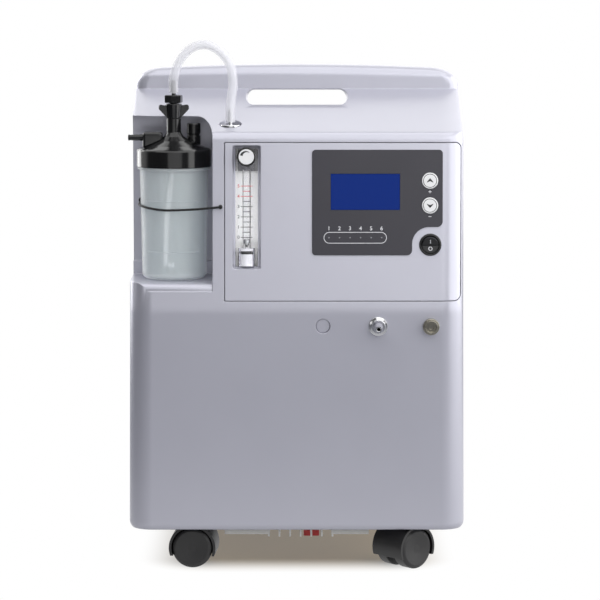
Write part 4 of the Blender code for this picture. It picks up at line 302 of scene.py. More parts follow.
lampLens = whitePlastic("smoked lamp polycarbonate", "7c7c82", "88888e", 0.22)
offWhite = whitePlastic("off-white polypropylene", "f6f3ea", "fbf8f0", 0.40)
blackInk = printInk("black scale ink", "1a1a1c", "242427")
redInk = printInk("red scale ink", "c8474c", "d05a5e")
whiteInk = printInk("white legend ink", "d6d6da", "e2e2e6")
print("materials", len(surfaces))

for part in frame["record"]["subparts"]:
    data = nodes[part["node"]].data
    data.materials.clear()
    data.materials.append(surfaces[part["material_slot"]])


# camera at the photograph's angle
cameraSet = {"distance": 3.0, "x": 0.0035, "height": 0.660, "pitch": 7.012, "lens": 173.55, "sensor": 36.0}
cameraData = bpy.data.cameras.new("camera")
cameraData.lens = cameraSet["lens"]
cameraData.sensor_width = cameraSet["sensor"]
camera = bpy.data.objects.new("camera", cameraData)
camera.location = (cameraSet["x"], front["y"] - cameraSet["distance"], cameraSet["height"])
camera.rotation_euler = (math.radians(90 - cameraSet["pitch"]), 0, 0)
bpy.context.scene.collection.objects.link(camera)
bpy.context.scene.camera = camera
print("camera")


# mesh helpers
far, past, over, brief = 1.0, 0.4, 0.03, 0.01  # how far cutters reach outside what they cut
hair = 0.00001  # keeps the two arcs of a full-round end from meeting
inkLift = 0.00005  # print stands this far off its ground
sharpAngle = math.radians(35)  # edges steeper than this stay crisp
letterWeight = 0.025  # stroke widening as a share of the letter height
capShare = 0.7  # height of a capital as a share of the font's size
routeSteps = 24  # points between two anchors of a route


def addPiece(name, bm, surface, body="chassis", matrix=None, slot=None, replaced=()):
    # a surface given by its slot's name takes that slot's material
    if isinstance(surface, str):
        surface, slot = surfaces[surface], surface
    mesh = bpy.data.meshes.new(name)
    bmesh.ops.recalc_face_normals(bm, faces=bm.faces)
    bm.to_mesh(mesh)
    bm.free()
    mesh.shade_smooth()
    mesh.set_sharp_from_angle(angle=sharpAngle)
    mesh.materials.append(surface)
    piece = bpy.data.objects.new(name, mesh)
    bpy.context.scene.collection.objects.link(piece)
    if matrix is not None:
        piece.matrix_world = matrix
    piece.modifiers.new("weights", "WEIGHTED_NORMAL").keep_sharp = True
    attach(piece, body)
    if replaced:
        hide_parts(*replaced)
    return piece


def moved(bm, matrix):
    bmesh.ops.transform(bm, matrix=matrix, verts=bm.verts)
    return bm


def carve(bm, cutter, operation="DIFFERENCE"):
    # one boolean between two meshes, both used up
    work = []
    for source in (bm, cutter):
        mesh = bpy.data.meshes.new("work")
        bmesh.ops.recalc_face_normals(source, faces=source.faces)
        source.to_mesh(mesh)
        source.free()
        work.append(bpy.data.objects.new("work", mesh))
        bpy.context.scene.collection.objects.link(work[-1])
    change = work[0].modifiers.new("carve", "BOOLEAN")
    change.object, change.operation, change.solver = work[1], operation, "EXACT"
    made = bmesh.new()
    made.from_object(work[0], bpy.context.evaluated_depsgraph_get())
    for item in work:
        mesh = item.data
        bpy.data.objects.remove(item)
        bpy.data.meshes.remove(mesh)
    return made


def roundLine(corners, steps=10, closed=True):
    # outline points from (a, b, radius) corners, each rounded by an arc
    points = []
    for i, (a, b, radius) in enumerate(corners):
        if radius <= 0 or (not closed and i in (0, len(corners) - 1)):
            points.append((a, b))
            continue
        corner = Vector((a, b))
        before = (Vector(corners[i - 1][:2]) - corner).normalized()
        after = (Vector(corners[(i + 1) % len(corners)][:2]) - corner).normalized()
        half = before.angle(after) / 2
        centre = corner + (before + after).normalized() * radius / math.sin(half)
        start = corner + before * radius / math.tan(half) - centre
        end = corner + after * radius / math.tan(half) - centre
        sweep = start.angle_signed(end)
        for k in range(steps + 1):
            arm = start.copy()
            arm.rotate(Matrix.Rotation(-sweep * k / steps, 2))
            points.append(tuple(centre + arm))
    return points


def roundRect(width, height, radius, steps=8, centre=(0, 0)):
    return roundLine([(centre[0] + a * width / 2, centre[1] + b * height / 2, radius)
                      for a, b in ((-1, -1), (1, -1), (1, 1), (-1, 1))], steps)


def ringLine(radius, z, steps):
    # a closed circle of points, for a tube laid round an axis
    return [(radius * math.cos(a), radius * math.sin(a), z)
            for a in (math.tau * k / steps for k in range(steps + 1))]


def bridge(bm, low, high):
    # a wall of faces between two closed loops
    for i in range(len(low)):
        j = (i + 1) % len(low)
        bm.faces.new((low[i], low[j], high[j], high[i]))


def turnBm(profile, sides=72, ring=False):
    # (radius, height) points turned about Z
    bm = bmesh.new()
    loops = []
    for radius, z in profile:
        angles = [math.tau * k / sides for k in range(sides)] if radius > 1e-7 else [0.0]
        loops.append([bm.verts.new((radius * math.cos(a), radius * math.sin(a), z)) for a in angles])
    pairs = list(zip(loops, loops[1:])) + ([(loops[-1], loops[0])] if ring else [])
    for low, high in pairs:
        if len(low) == 1 and len(high) == 1:
            continue
        for k in range(sides):
            j = (k + 1) % sides
            corners = [low[k % len(low)], low[j % len(low)], high[j % len(high)], high[k % len(high)]]
            bm.faces.new(list(dict.fromkeys(corners)))
    return bm


def prismBm(outline, low, high):
    # an outline in the XY plane, drawn out along Z
    bm = bmesh.new()
    under = [bm.verts.new((a, b, low)) for a, b in outline]
    above = [bm.verts.new((a, b, high)) for a, b in outline]
    bm.faces.new(under)
    bm.faces.new(above)
    bridge(bm, under, above)
    return bm


def wallPrism(outline, frontY, backY):
    # an outline in the XZ plane, drawn out along Y
    return moved(prismBm(outline, -backY, -frontY), outwards)


def boxBm(low, high):
    return prismBm([(low[0], low[1]), (high[0], low[1]), (high[0], high[1]), (low[0], high[1])],
                   low[2], high[2])


def softBoxBm(low, high, radius, steps):
    # the bevel goes by the normals, so they are set first
    bm = boxBm(low, high)
    bm.normal_update()
    bmesh.ops.bevel(bm, geom=bm.edges[:] + bm.verts[:], offset=radius, segments=steps,
                    profile=0.5, affect="EDGES")
    return bm


def rodBm(radius, start, end, sides=48):
    start, end = Vector(start), Vector(end)
    length = (end - start).length
    place = Matrix.Translation(start) @ (end - start).to_track_quat("Z", "Y").to_matrix().to_4x4()
    return moved(turnBm([(0, 0), (radius, 0), (radius, length), (0, length)], sides), place)


def bandBm(outer, inner):
    # the flat band between two outlines of the same number of points
    bm = bmesh.new()
    bridge(bm, *([bm.verts.new((a, b, 0)) for a, b in line] for line in (outer, inner)))
    return bm


def flatBm(outline):
    bm = bmesh.new()
    bm.faces.new([bm.verts.new((a, b, 0)) for a, b in outline])
    return bm


def letterBm(words, height):
    curve = bpy.data.curves.new("letters", "FONT")
    curve.body, curve.size, curve.align_x, curve.align_y = words, height / capShare, "CENTER", "CENTER"
    curve.offset = height * letterWeight
    work = bpy.data.objects.new("letters", curve)
    bpy.context.scene.collection.objects.link(work)
    mesh = bpy.data.meshes.new_from_object(work.evaluated_get(bpy.context.evaluated_depsgraph_get()))
    bm = bmesh.new()
    bm.from_mesh(mesh)
    bpy.data.objects.remove(work)
    bpy.data.curves.remove(curve)
    bpy.data.meshes.remove(mesh)
    return bm


def smoothRoute(points, spacing):
    # an even line of points on a smooth curve through the anchors
    anchors = [Vector(p) for p in points]
    anchors = [2 * anchors[0] - anchors[1]] + anchors + [2 * anchors[-1] - anchors[-2]]
    fine = []
    for p0, p1, p2, p3 in zip(anchors, anchors[1:], anchors[2:], anchors[3:]):
        for k in range(routeSteps):
            t = k / routeSteps
            fine.append(0.5 * (2 * p1 + (p2 - p0) * t + (2 * p0 - 5 * p1 + 4 * p2 - p3) * t * t
                               + (3 * p1 - p0 - 3 * p2 + p3) * t ** 3))
    fine.append(anchors[-2])
    travelled = [0.0]
    for a, b in zip(fine, fine[1:]):
        travelled.append(travelled[-1] + (b - a).length)
    count = max(2, round(travelled[-1] / spacing))
    even, j = [], 0
    for k in range(count + 1):
        target = travelled[-1] * k / count
        while j < len(fine) - 2 and travelled[j + 1] < target:
            j += 1
        share = (target - travelled[j]) / (travelled[j + 1] - travelled[j])
        even.append(fine[j].lerp(fine[j + 1], min(share, 1.0)))
    return even


def tubeAlong(points, radius, sides=24, bore=None):
    # rings carried along the line without twist; a bore gives the tube its inner wall and end faces
    bm = bmesh.new()
    points = [Vector(p) for p in points]
    axis = (points[1] - points[0]).normalized()
    arm = axis.orthogonal().normalized()
    loops = []
    for i, point in enumerate(points):
        ahead = points[min(i + 1, len(points) - 1)] - points[max(i - 1, 0)]
        turn = axis.rotation_difference(ahead.normalized())
        arm = turn @ arm
        axis = ahead.normalized()
        side = axis.cross(arm)
        loops.append([[bm.verts.new(point + r * (math.cos(a) * arm + math.sin(a) * side))
                       for a in (math.tau * k / sides for k in range(sides))]
                      for r in ([radius] if bore is None else [radius, bore])])
    for wall in range(len(loops[0])):
        for lower, upper in zip(loops, loops[1:]):
            bridge(bm, lower[wall], upper[wall])
    for end in (loops[0], loops[-1]):
        if bore is None:
            bm.faces.new(end[0])
        else:
            bridge(bm, *end)
    return bm


# housing shells: the solids' form with rounder corners, a soft crease and a fine handle
shell = {
    "depth": 0.330, "wall": 0.004, "splitY": 0.0115, "backY": 0.1745,
    "widths": ((0.046, 0.356), (0.280, 0.351), (0.464, 0.351), (0.504, 0.3520)),  # (height, width)
    "bottomZ": 0.0446, "shoulderZ": 0.464, "footZ": 0.504, "roundZ": 0.508, "topZ": 0.530,
    "bottomSet": 0.008, "shoulderSet": 0.016, "handleSet": 0.150, "handleThick": 0.034,
    "creaseR": 0.080, "shoulderR": 0.010, "cornerR": 0.025, "cornerShare": 0.42, "leastR": 0.0012,
    "handleEdgeR": 0.011, "handleCornerR": 0.022, "handleSpread": 1.2, "crown": 0.005,
    "bottomR": 0.010, "bottomSweep": math.radians(45), "rows": (0.2, 0.4, 0.54),
    # carrying slot
    "slotLength": 0.110, "slotHeight": 0.0180, "slotTilt": math.radians(4),
    # humidifier recess, the lip of its shelf and the ledge behind the bottle
    "recessRight": -0.088, "recessTop": 0.479, "shelfZ": 0.3085, "recessDepth": 0.100,
    "recessTopR": 0.018, "recessFootR": 0.004, "recessEdgeR": 0.0028,
    "lipR": 0.009, "lipEnd": 0.00005, "ledgeRise": 0.014, "ledgeDepth": 0.009,
    # openings in the front and the roof
    "openingDepth": 0.05, "portDepth": 0.02, "portDrop": 0.0167,
    "portHoles": ((0.0275, 0.0076), (0.0853, 0.0053), (0.1406, 0.0068)),  # (x, radius)
    "supply": (-0.0697, -0.11162, 0.4688), "spotR": 0.0118, "supplyHoleR": 0.0033,
    # openings in the back
    "filterZ": 0.345, "filter": (0.104, 0.012, 0.078), "filterSeat": 0.0056, "ledge": 0.012,
    "coverMargin": 0.010, "coverSeat": 0.0023, "inlet": (0.105, 0.112), "inletBody": (0.0286, 0.0211),
}
fit = 0.0003  # gap between neighbouring pieces


def offsetLine(line, inset, side):
    # the line moved sideways by the inset, its corners kept
    placed = []
    for i, (a, b, radius) in enumerate(line):
        normals = []
        for j in (i - 1, i):
            if 0 <= j < len(line) - 1:
                step = (Vector(line[j + 1][:2]) - Vector(line[j][:2])).normalized()
                normals.append(Vector((step.y, -step.x)) * side)
        normal = sum(normals, Vector((0, 0))).normalized()
        placed.append((*(Vector((a, b)) + normal * inset / normal.dot(normals[0])), radius))
    return placed


def halfWidth(z, inset):
    # half the housing's width at a height, drawn in where the handle's ends are rounded
    stations = shell["widths"]
    width = stations[0][1] if z <= stations[0][0] else stations[-1][1]
    for (z0, w0), (z1, w1) in zip(stations, stations[1:]):
        if z0 <= z <= z1:
            width = w0 + (w1 - w0) * (z - z0) / (z1 - z0)
    rise, radius = z - shell["roundZ"], shell["handleCornerR"] - inset
    half = width / 2 - inset
    drop = radius - math.sqrt(max(radius * radius - rise * rise, 0.0)) if rise > 0 else 0.0
    return half - drop * shell["handleSpread"]


def sideLines(inset, steps):
    # front and back edge of the side view, as (setback, z) points
    handleBack, top = shell["handleSet"] + shell["handleThick"], shell["topZ"]
    middle = shell["handleSet"] + shell["handleThick"] / 2
    shoulderR, edgeR = max(shell["shoulderR"] - inset, shell["leastR"]), shell["handleEdgeR"] - inset
    rises = [shell["roundZ"] + (top - shell["handleEdgeR"] - shell["roundZ"]) * k / 4 for k in range(4)]
    slope = shell["footZ"] - shell["shoulderZ"]

    def upwards(low, crease, shoulder, handle, creaseR):
        line = [(low, shell["bottomZ"], 0), (crease, front["creaseZ"], creaseR),
                (shoulder, shell["shoulderZ"], shoulderR)]
        line += [(shoulder + (handle - shoulder) * share, shell["shoulderZ"] + slope * share, 0)
                 for share in shell["rows"]]
        line += [(handle, shell["footZ"], 0)] + [(handle, z, 0) for z in rises]
        return line + [(handle, top, edgeR), (middle, top, 0)]

    frontLine = upwards(shell["bottomSet"], 0, shell["shoulderSet"], shell["handleSet"], shell["creaseR"])
    backLine = upwards(shell["depth"], shell["depth"], shell["depth"], handleBack, 0)
    frontLine = roundLine(offsetLine(frontLine, inset, 1), steps, False)[:-1]
    backLine = roundLine(offsetLine(backLine, inset, -1), steps, False)[:-1]
    extra = len(frontLine) - len(backLine)
    backLine[1:2] = [(backLine[1][0], z) for _, z in frontLine[1:2 + extra]]
    return frontLine, backLine


def sectionRing(frontPoint, backPoint, inset, steps, shrink=0.0):
    # one rounded cross-section of the housing between a front and a back point
    frontSet, backSet = frontPoint[0] + shrink, backPoint[0] - shrink
    half = halfWidth(min(frontPoint[1], shell["topZ"] - inset), inset) - shrink
    depth = backSet - frontSet
    radius = max(min(shell["cornerR"] - inset - shrink, depth * shell["cornerShare"]), shell["leastR"])
    inner = [half * k / 6 for k in range(-4, 5)]
    outline = roundLine([(-half, frontSet, radius)] + [(x, frontSet, 0) for x in inner]
                        + [(half, frontSet, radius), (half, backSet, radius)]
                        + [(-x, backSet, 0) for x in inner] + [(-half, backSet, radius)], steps)
    points = []
    for x, setback in outline:
        z = frontPoint[1] + (backPoint[1] - frontPoint[1]) * (setback - frontSet) / depth
        lift = min(max((z - shell["footZ"]) / (shell["topZ"] - shell["footZ"]), 0.0), 1.0)
        z -= shell["crown"] * lift * (2 * x / shell["widths"][-1][1]) ** 2
        points.append((x, front["y"] + setback, z))
    return points


def housingBm(inset, steps, skirt=0.0):
    # the whole housing as a closed solid; the outer one turns in softly at its foot
    frontLine, backLine = sideLines(inset, steps)
    rings = [sectionRing(f, b, inset, steps) for f, b in zip(frontLine, backLine)]
    if skirt:
        rings[0] = [(x, y, z - skirt) for x, y, z in rings[0]]
    elif not inset:
        rings[:1] = []
        for k in range(5):
            angle = shell["bottomSweep"] * k / 4
            rise = shell["bottomR"] * (math.sin(shell["bottomSweep"]) - math.sin(angle))
            share = rise / (front["creaseZ"] - shell["bottomZ"])
            z = shell["bottomZ"] + rise
            ends = [(shell["bottomSet"] * (1 - share), z), (shell["depth"], z)]
            rings.insert(0, sectionRing(*ends, 0.0, steps, shell["bottomR"] * (1 - math.cos(angle))))
    bm = bmesh.new()
    loops = [[bm.verts.new(point) for point in ring] for ring in rings]
    for lower, upper in zip(loops, loops[1:]):
        bridge(bm, lower, upper)
    last = len(rings[0]) - 1
    for loop in (loops[0], loops[-1]):
        for i in range(last // 2):
            bm.faces.new((loop[i], loop[i + 1], loop[last - 1 - i], loop[last - i]))
    return bm


def recessOutline(grow=0.0):
    right, top, low = shell["recessRight"] + grow, shell["recessTop"] + grow, shell["shelfZ"] - grow
    return roundLine([(-past, low, 0), (right, low, shell["recessFootR"] + grow),
                      (right, top, shell["recessTopR"] + grow), (-past, top, 0)], 12)


def slotBm(grow=0.0):
    height = shell["slotHeight"] + 2 * grow
    outline = roundRect(shell["slotLength"] + 2 * grow, height, height / 2 - hair, 12)
    middle = shell["footZ"] - shell["slotHeight"] / 2
    place = Matrix.Translation((0, front["y"] + shell["handleSet"], middle))
    return moved(wallPrism(outline, -past, past), place @ Matrix.Rotation(-shell["slotTilt"], 4, "X"))


def filterPocketBm(grow=0.0):
    width, depth, height = shell["filter"]
    halfW, halfH = width / 2 + fit + grow, height / 2 + fit + grow
    return boxBm((-halfW, shell["backY"] - depth - shell["filterSeat"] - grow, shell["filterZ"] - halfH),
                 (halfW, shell["backY"] + over, shell["filterZ"] + halfH))


def lipBm():
    # what the rounded front lip of the shelf takes off the housing
    lipR, top = shell["lipR"], shell["shelfZ"]
    edgeY = front["y"] + (top - front["creaseZ"]) * math.tan(front["upperLean"])
    arc = [(edgeY + lipR * (1 - math.sin(a)), top - lipR * (1 - math.cos(a)))
           for a in (math.pi / 2 * k / 10 for k in range(11))]
    outline = [(edgeY - lipR, top + lipR), (edgeY + lipR, top + lipR)] + arc + [(edgeY - lipR, top - lipR)]
    alongX = Matrix(((0, 0, 1, 0), (1, 0, 0, 0), (0, 1, 0, 0), (0, 0, 0, 1)))
    return moved(prismBm(outline, -past, shell["recessRight"] - shell["lipEnd"]), alongX)


def recessBm():
    # the humidifier recess, with a low ledge left along its back wall
    back, low = front["y"] + shell["recessDepth"], shell["shelfZ"]
    wide, deep = 0.5, 0.02
    ledge = boxBm((-wide, back - shell["ledgeDepth"], low - deep),
                  (wide, back + deep, low + shell["ledgeRise"]))
    return carve(wallPrism(recessOutline(), -far, back), ledge)


def roundRecessEdge(bm):
    # the edge where the recess breaks out of the front and the roof is rounded
    bm.normal_update()
    facing, level = -0.1, 0.002
    picked = []
    for edge in bm.edges:
        if len(edge.link_faces) != 2 or max(v.co.z for v in edge.verts) < shell["shelfZ"] + shell["lipR"]:
            continue
        tilts = sorted((face.normal.y for face in edge.link_faces))
        if tilts[0] < facing and abs(tilts[1]) < level:
            picked.append(edge)
    bmesh.ops.bevel(bm, geom=picked, offset=shell["recessEdgeR"], segments=6, profile=0.5, affect="EDGES",
                    clamp_overlap=True)
    print("recess edge", len(picked))
    return bm


def makeShells():
    recessBack = front["y"] + shell["recessDepth"]
    wall = shell["wall"]
    cavity = housingBm(wall, 3, over)
    for cutter in (wallPrism(recessOutline(wall), -far, recessBack + wall), slotBm(wall),
                   filterPocketBm(wall)):
        cavity = carve(cavity, cutter)
    whole = carve(carve(housingBm(0.0, 12), cavity), slotBm())
    halfGap = fit / 2
    rear = carve(whole.copy(), boxBm((-far, shell["splitY"] + halfGap, -far), (far, far, far)), "INTERSECT")
    shellFront = carve(whole, boxBm((-far, -far, -far), (far, shell["splitY"] - halfGap, far)), "INTERSECT")
    spot = Vector(shell["supply"])
    shellFront = roundRecessEdge(carve(shellFront, recessBm()))
    up = Vector((0, 0, over))
    cutters = [lipBm(), wallPrism(panelOutline(fit), -far, front["y"] + shell["openingDepth"]),
               rodBm(shell["spotR"], spot, spot + up, 64), rodBm(shell["supplyHoleR"], spot - up, spot + up)]
    for x, radius in shell["portHoles"]:
        hole = rodBm(radius, (0, 0, -shell["portDepth"]), (0, 0, shell["portDepth"]))
        cutters.append(moved(hole, onLower(x, -shell["portDrop"])))
    for cutter in cutters:
        shellFront = carve(shellFront, cutter)
    addPiece("front_housing", shellFront, "housing_abs", replaced=["front_shell"])

    width, _, height = shell["filter"]
    grown = 2 * (shell["coverMargin"] + fit)
    cover = roundRect(width + grown, height + grown, shell["coverMargin"], centre=(0, shell["filterZ"]))
    airW, airH = width / 2 - shell["ledge"], height / 2 - shell["ledge"]
    inletX, inletZ = shell["inlet"]
    bodyW, bodyH = shell["inletBody"]
    backY = shell["backY"]
    for cutter in (filterPocketBm(), wallPrism(cover, backY - shell["coverSeat"], backY + over),
                   boxBm((-airW, backY - 2 * over, shell["filterZ"] - airH),
                         (airW, backY, shell["filterZ"] + airH)),
                   boxBm((inletX - bodyW / 2, backY - over, inletZ - bodyH / 2),
                         (inletX + bodyW / 2, backY + over, inletZ + bodyH / 2))):
        rear = carve(rear, cutter)
    addPiece("rear_housing", rear, "housing_abs", replaced=["rear_shell"])


# control panel: plate let into the front, film overlay, keys, lamps, rocker
panel = {
    "left": -0.0755, "right": 0.1722, "low": 0.2895, "high": 0.4545, "cornerR": 0.007, "leftR": 0.0012,
    "thick": 0.0022, "seam": 0.0004,
    # windows as (x, height above the crease, width, height)
    "flow": (-0.0523, 0.1076, 0.0232, 0.123), "lcd": (0.0717, 0.1239, 0.072, 0.0375),
    "pocketMargin": 0.0031, "pocketDepth": 0.007, "pocketDraft": 0.002, "pocketWall": 0.0012,
    "pocketR": 0.0022, "switch": (0.1396, 0.0687), "barrelR": 0.0104,
    "keys": {"up_key": (0.1392, 0.1355), "down_key": (0.1392, 0.1096)}, "keyR": 0.0085, "keyTop": 0.0022,
    "overlay": ((0.016, 0.0576, 0.004), (0.1206, 0.0576, 0.0055), (0.1206, 0.0872, 0.0178),
                (0.1525, 0.0872, 0.006), (0.1525, 0.1678, 0.004), (0.016, 0.1678, 0.004)),
    "overlayThick": 0.0007, "ledX": 0.0612, "ledV": 0.0760, "ledPitch": 0.011, "ledCount": 6,
    "numberHeight": 0.0040, "numberRise": 0.0096, "signHeight": 0.0042, "signDrop": 0.0118,
}


def panelOutline(grow=0.0):
    # almost square on the left, beside the recess
    radius = panel["cornerR"] + grow
    left, right = panel["left"] - grow, panel["right"] + grow
    low, high = panel["low"] - grow, panel["high"] + grow
    return roundLine([(left, low, panel["leftR"]), (right, low, radius), (right, high, radius),
                      (left, high, panel["leftR"])], 10)


def pocketBm(shallow, deep, grow):
    # a drafted pocket round the flow meter, between two depths behind the face
    x, v, width, height = panel["flow"]
    rings = []
    for depth in (shallow, deep):
        margin = 2 * (panel["pocketMargin"] + grow - panel["pocketDraft"] * depth / panel["pocketDepth"])
        outline = roundRect(width + margin, height + margin, panel["pocketR"], 6)
        rings.append([(a, b, -depth) for a, b in outline])
    bm = bmesh.new()
    loops = [[bm.verts.new(p) for p in ring] for ring in rings]
    bridge(bm, *loops)
    for loop in loops:
        bm.faces.new(loop)
    return moved(bm, onUpper(x, v))


def windowBm(x, v, width, height):
    halfW, halfH = width / 2 + fit, height / 2 + fit
    return moved(boxBm((-halfW, -halfH, -over), (halfW, halfH, over)), onUpper(x, v))


def faceHoleBm(x, v, radius):
    return moved(rodBm(radius + fit, (0, 0, -over), (0, 0, over), 64), onUpper(x, v))


def makePanel():
    plateBm = carve(housingBm(0.0, 12), housingBm(panel["thick"], 12, over))
    edge = wallPrism(panelOutline(-panel["seam"]), -far, front["y"] + shell["openingDepth"])
    plateBm = carve(plateBm, edge, "INTERSECT")
    depth, wall = panel["pocketDepth"], panel["pocketWall"]
    plateBm = carve(plateBm, pocketBm(panel["thick"] / 2, depth + wall, wall), "UNION")
    cutters = [pocketBm(-0.001, depth, 0.0), windowBm(*panel["flow"]), windowBm(*panel["lcd"]),
               faceHoleBm(*panel["switch"], panel["barrelR"])]
    cutters += [faceHoleBm(x, v, panel["keyR"]) for x, v in panel["keys"].values()]
    for cutter in cutters:
        plateBm = carve(plateBm, cutter)
    addPiece("panel_plate", plateBm, "panel_abs", replaced=["control_panel"])

    thick = panel["overlayThick"]
    film = moved(prismBm(roundLine(panel["overlay"], 12), fit, fit + thick), onUpper(0, 0))
    film = carve(film, windowBm(*panel["lcd"]))
    for x, v in panel["keys"].values():
        film = carve(film, faceHoleBm(x, v, panel["keyR"]))
    addPiece("overlay_film", film, "overlay_print", replaced=["panel_overlay"])


def makeKeys():
    top, radius = panel["keyTop"], panel["keyR"]
    profile = roundLine([(0, top, 0), (radius, top, 0.0008), (radius, -0.0022, 0), (0.003, -0.0022, 0),
                         (0.003, -0.0062, 0), (0, -0.0062, 0)], 6, False)
    chevron = [(-0.0034, -0.0020), (0, -0.0004), (0.0034, -0.0020),
               (0.0028, -0.0006), (0, 0.0026), (-0.0028, -0.0006)]
    for body, node in (("up_key", "button_up"), ("down_key", "button_down")):
        x, v = panel["keys"][body]
        addPiece(node + "_cap", turnBm(profile), "white_plastic", body, onUpper(x, v), replaced=[node])
        ring = [[point[:2] for point in ringLine(r, 0, 72)[:-1]] for r in (radius - 0.0013, radius - 0.0019)]
        addPiece(node + "_ring", bandBm(*ring), blackInk, body, onUpper(x, v, top + inkLift))
        way = 1 if body == "up_key" else -1
        addPiece(node + "_arrow", flatBm([(a, way * b) for a, b in chevron]), blackInk, body,
                 onUpper(x, v, top + inkLift))


def makeLamps():
    # six indicator lamps in a white printed outline, numbered, and the key signs
    out = fit + panel["overlayThick"] + inkLift
    x, v, pitch, count = panel["ledX"], panel["ledV"], panel["ledPitch"], panel["ledCount"]
    width, height, line = pitch * count, 0.0120, 0.0007
    outline = bandBm(roundRect(width, height, height / 2 - hair, 16),
                     roundRect(width - 2 * line, height - 2 * line, height / 2 - line - hair, 16))
    addPiece("lamp_outline", outline, whiteInk, matrix=onUpper(x, v, out))
    for i in range(count):
        at = x + pitch * (i - (count - 1) / 2)
        dome = roundLine([(0, 0.0005, 0), (0.0009, 0.0005, 0.0005), (0.0009, -0.0001, 0)], 6, False)
        addPiece("lamp_%d" % (i + 1), turnBm(dome, 24), lampLens, matrix=onUpper(at, v, out))
        addPiece("lamp_number_%d" % (i + 1), letterBm(str(i + 1), panel["numberHeight"]), whiteInk,
                 matrix=onUpper(at, v + panel["numberRise"], out))
    for body, sign in (("up_key", "+"), ("down_key", "−")):
        keyX, keyV = panel["keys"][body]
        addPiece(body + "_sign", letterBm(sign, panel["signHeight"]), whiteInk,
                 matrix=onUpper(keyX, keyV - panel["signDrop"], out))


def makeRocker():
    x, v = panel["switch"]
    socketR, rim, outer, deep, barrelR, barrel = 0.0093, 0.0016, 0.0117, 0.011, panel["barrelR"], 0.018
    profile = [(0, -deep), (socketR, -deep)]
    profile += roundLine([(socketR, -deep, 0), (socketR, rim, 0.0006), (outer, rim, 0.0012),
                          (outer, fit, 0)], 6, False)[1:]
    profile += [(barrelR, fit), (barrelR, -barrel), (0, -barrel)]
    addPiece("switch_bezel", turnBm(profile), "black_gloss", matrix=onUpper(x, v),
             replaced=["switch_housing"])
    ball, valley, tilt, reach = 0.0090, 0.0026, math.radians(11), 0.018
    bm = bmesh.new()
    bmesh.ops.create_uvsphere(bm, u_segments=64, v_segments=48, radius=ball)
    crest = valley + reach * math.tan(tilt)
    dish = roundLine([(-reach, -0.004, 0), (reach, -0.004, 0), (reach, crest, 0), (0, valley, 0.006),
                      (-reach, crest, 0)], 8)
    cutter = moved(wallPrism(dish, -reach, reach),
                   Matrix.Rotation(tilt, 4, "X") @ Matrix.Rotation(math.pi / 2, 4, "Z"))
    addPiece("rocker_cap", carve(bm, cutter, "INTERSECT"), "black_gloss", "power_switch", onUpper(x, v),
             replaced=["power_rocker"])
    signLift = 0.00012
    for name, words, along in (("rocker_on", "I", 0.0037), ("rocker_off", "O", -0.0037)):
        lean = tilt + math.copysign(tilt, along)
        at = Matrix.Translation((0, along, valley + abs(along) * math.tan(tilt) + signLift))
        flat = Matrix.Rotation(tilt, 4, "X") @ at
        addPiece(name, letterBm(words, panel["numberHeight"]), whiteInk, "power_switch",
                 onUpper(x, v) @ flat @ Matrix.Rotation(lean - tilt, 4, "X"))


# flow meter: clear block with a bore, scale card behind it, plug, float and valve knob
meter = {
    "at": panel["flow"][:2], "size": (*panel["flow"][2:], 0.022), "proud": 0.002, "edgeR": 0.0015,
    "axis": 0.009, "boreR": 0.0046, "boreTop": 0.1471, "seatR": 0.0086, "seatTop": 0.0190,
    "floatRise": 0.0203, "zeroV": 0.0764, "stepV": 0.00535, "marks": 5,
    "knobV": 0.1603, "knobR": 0.0100, "knobRim": 0.0017, "knobLength": 0.009, "stemR": 0.0033,
    "stemEnd": 0.0083,
}


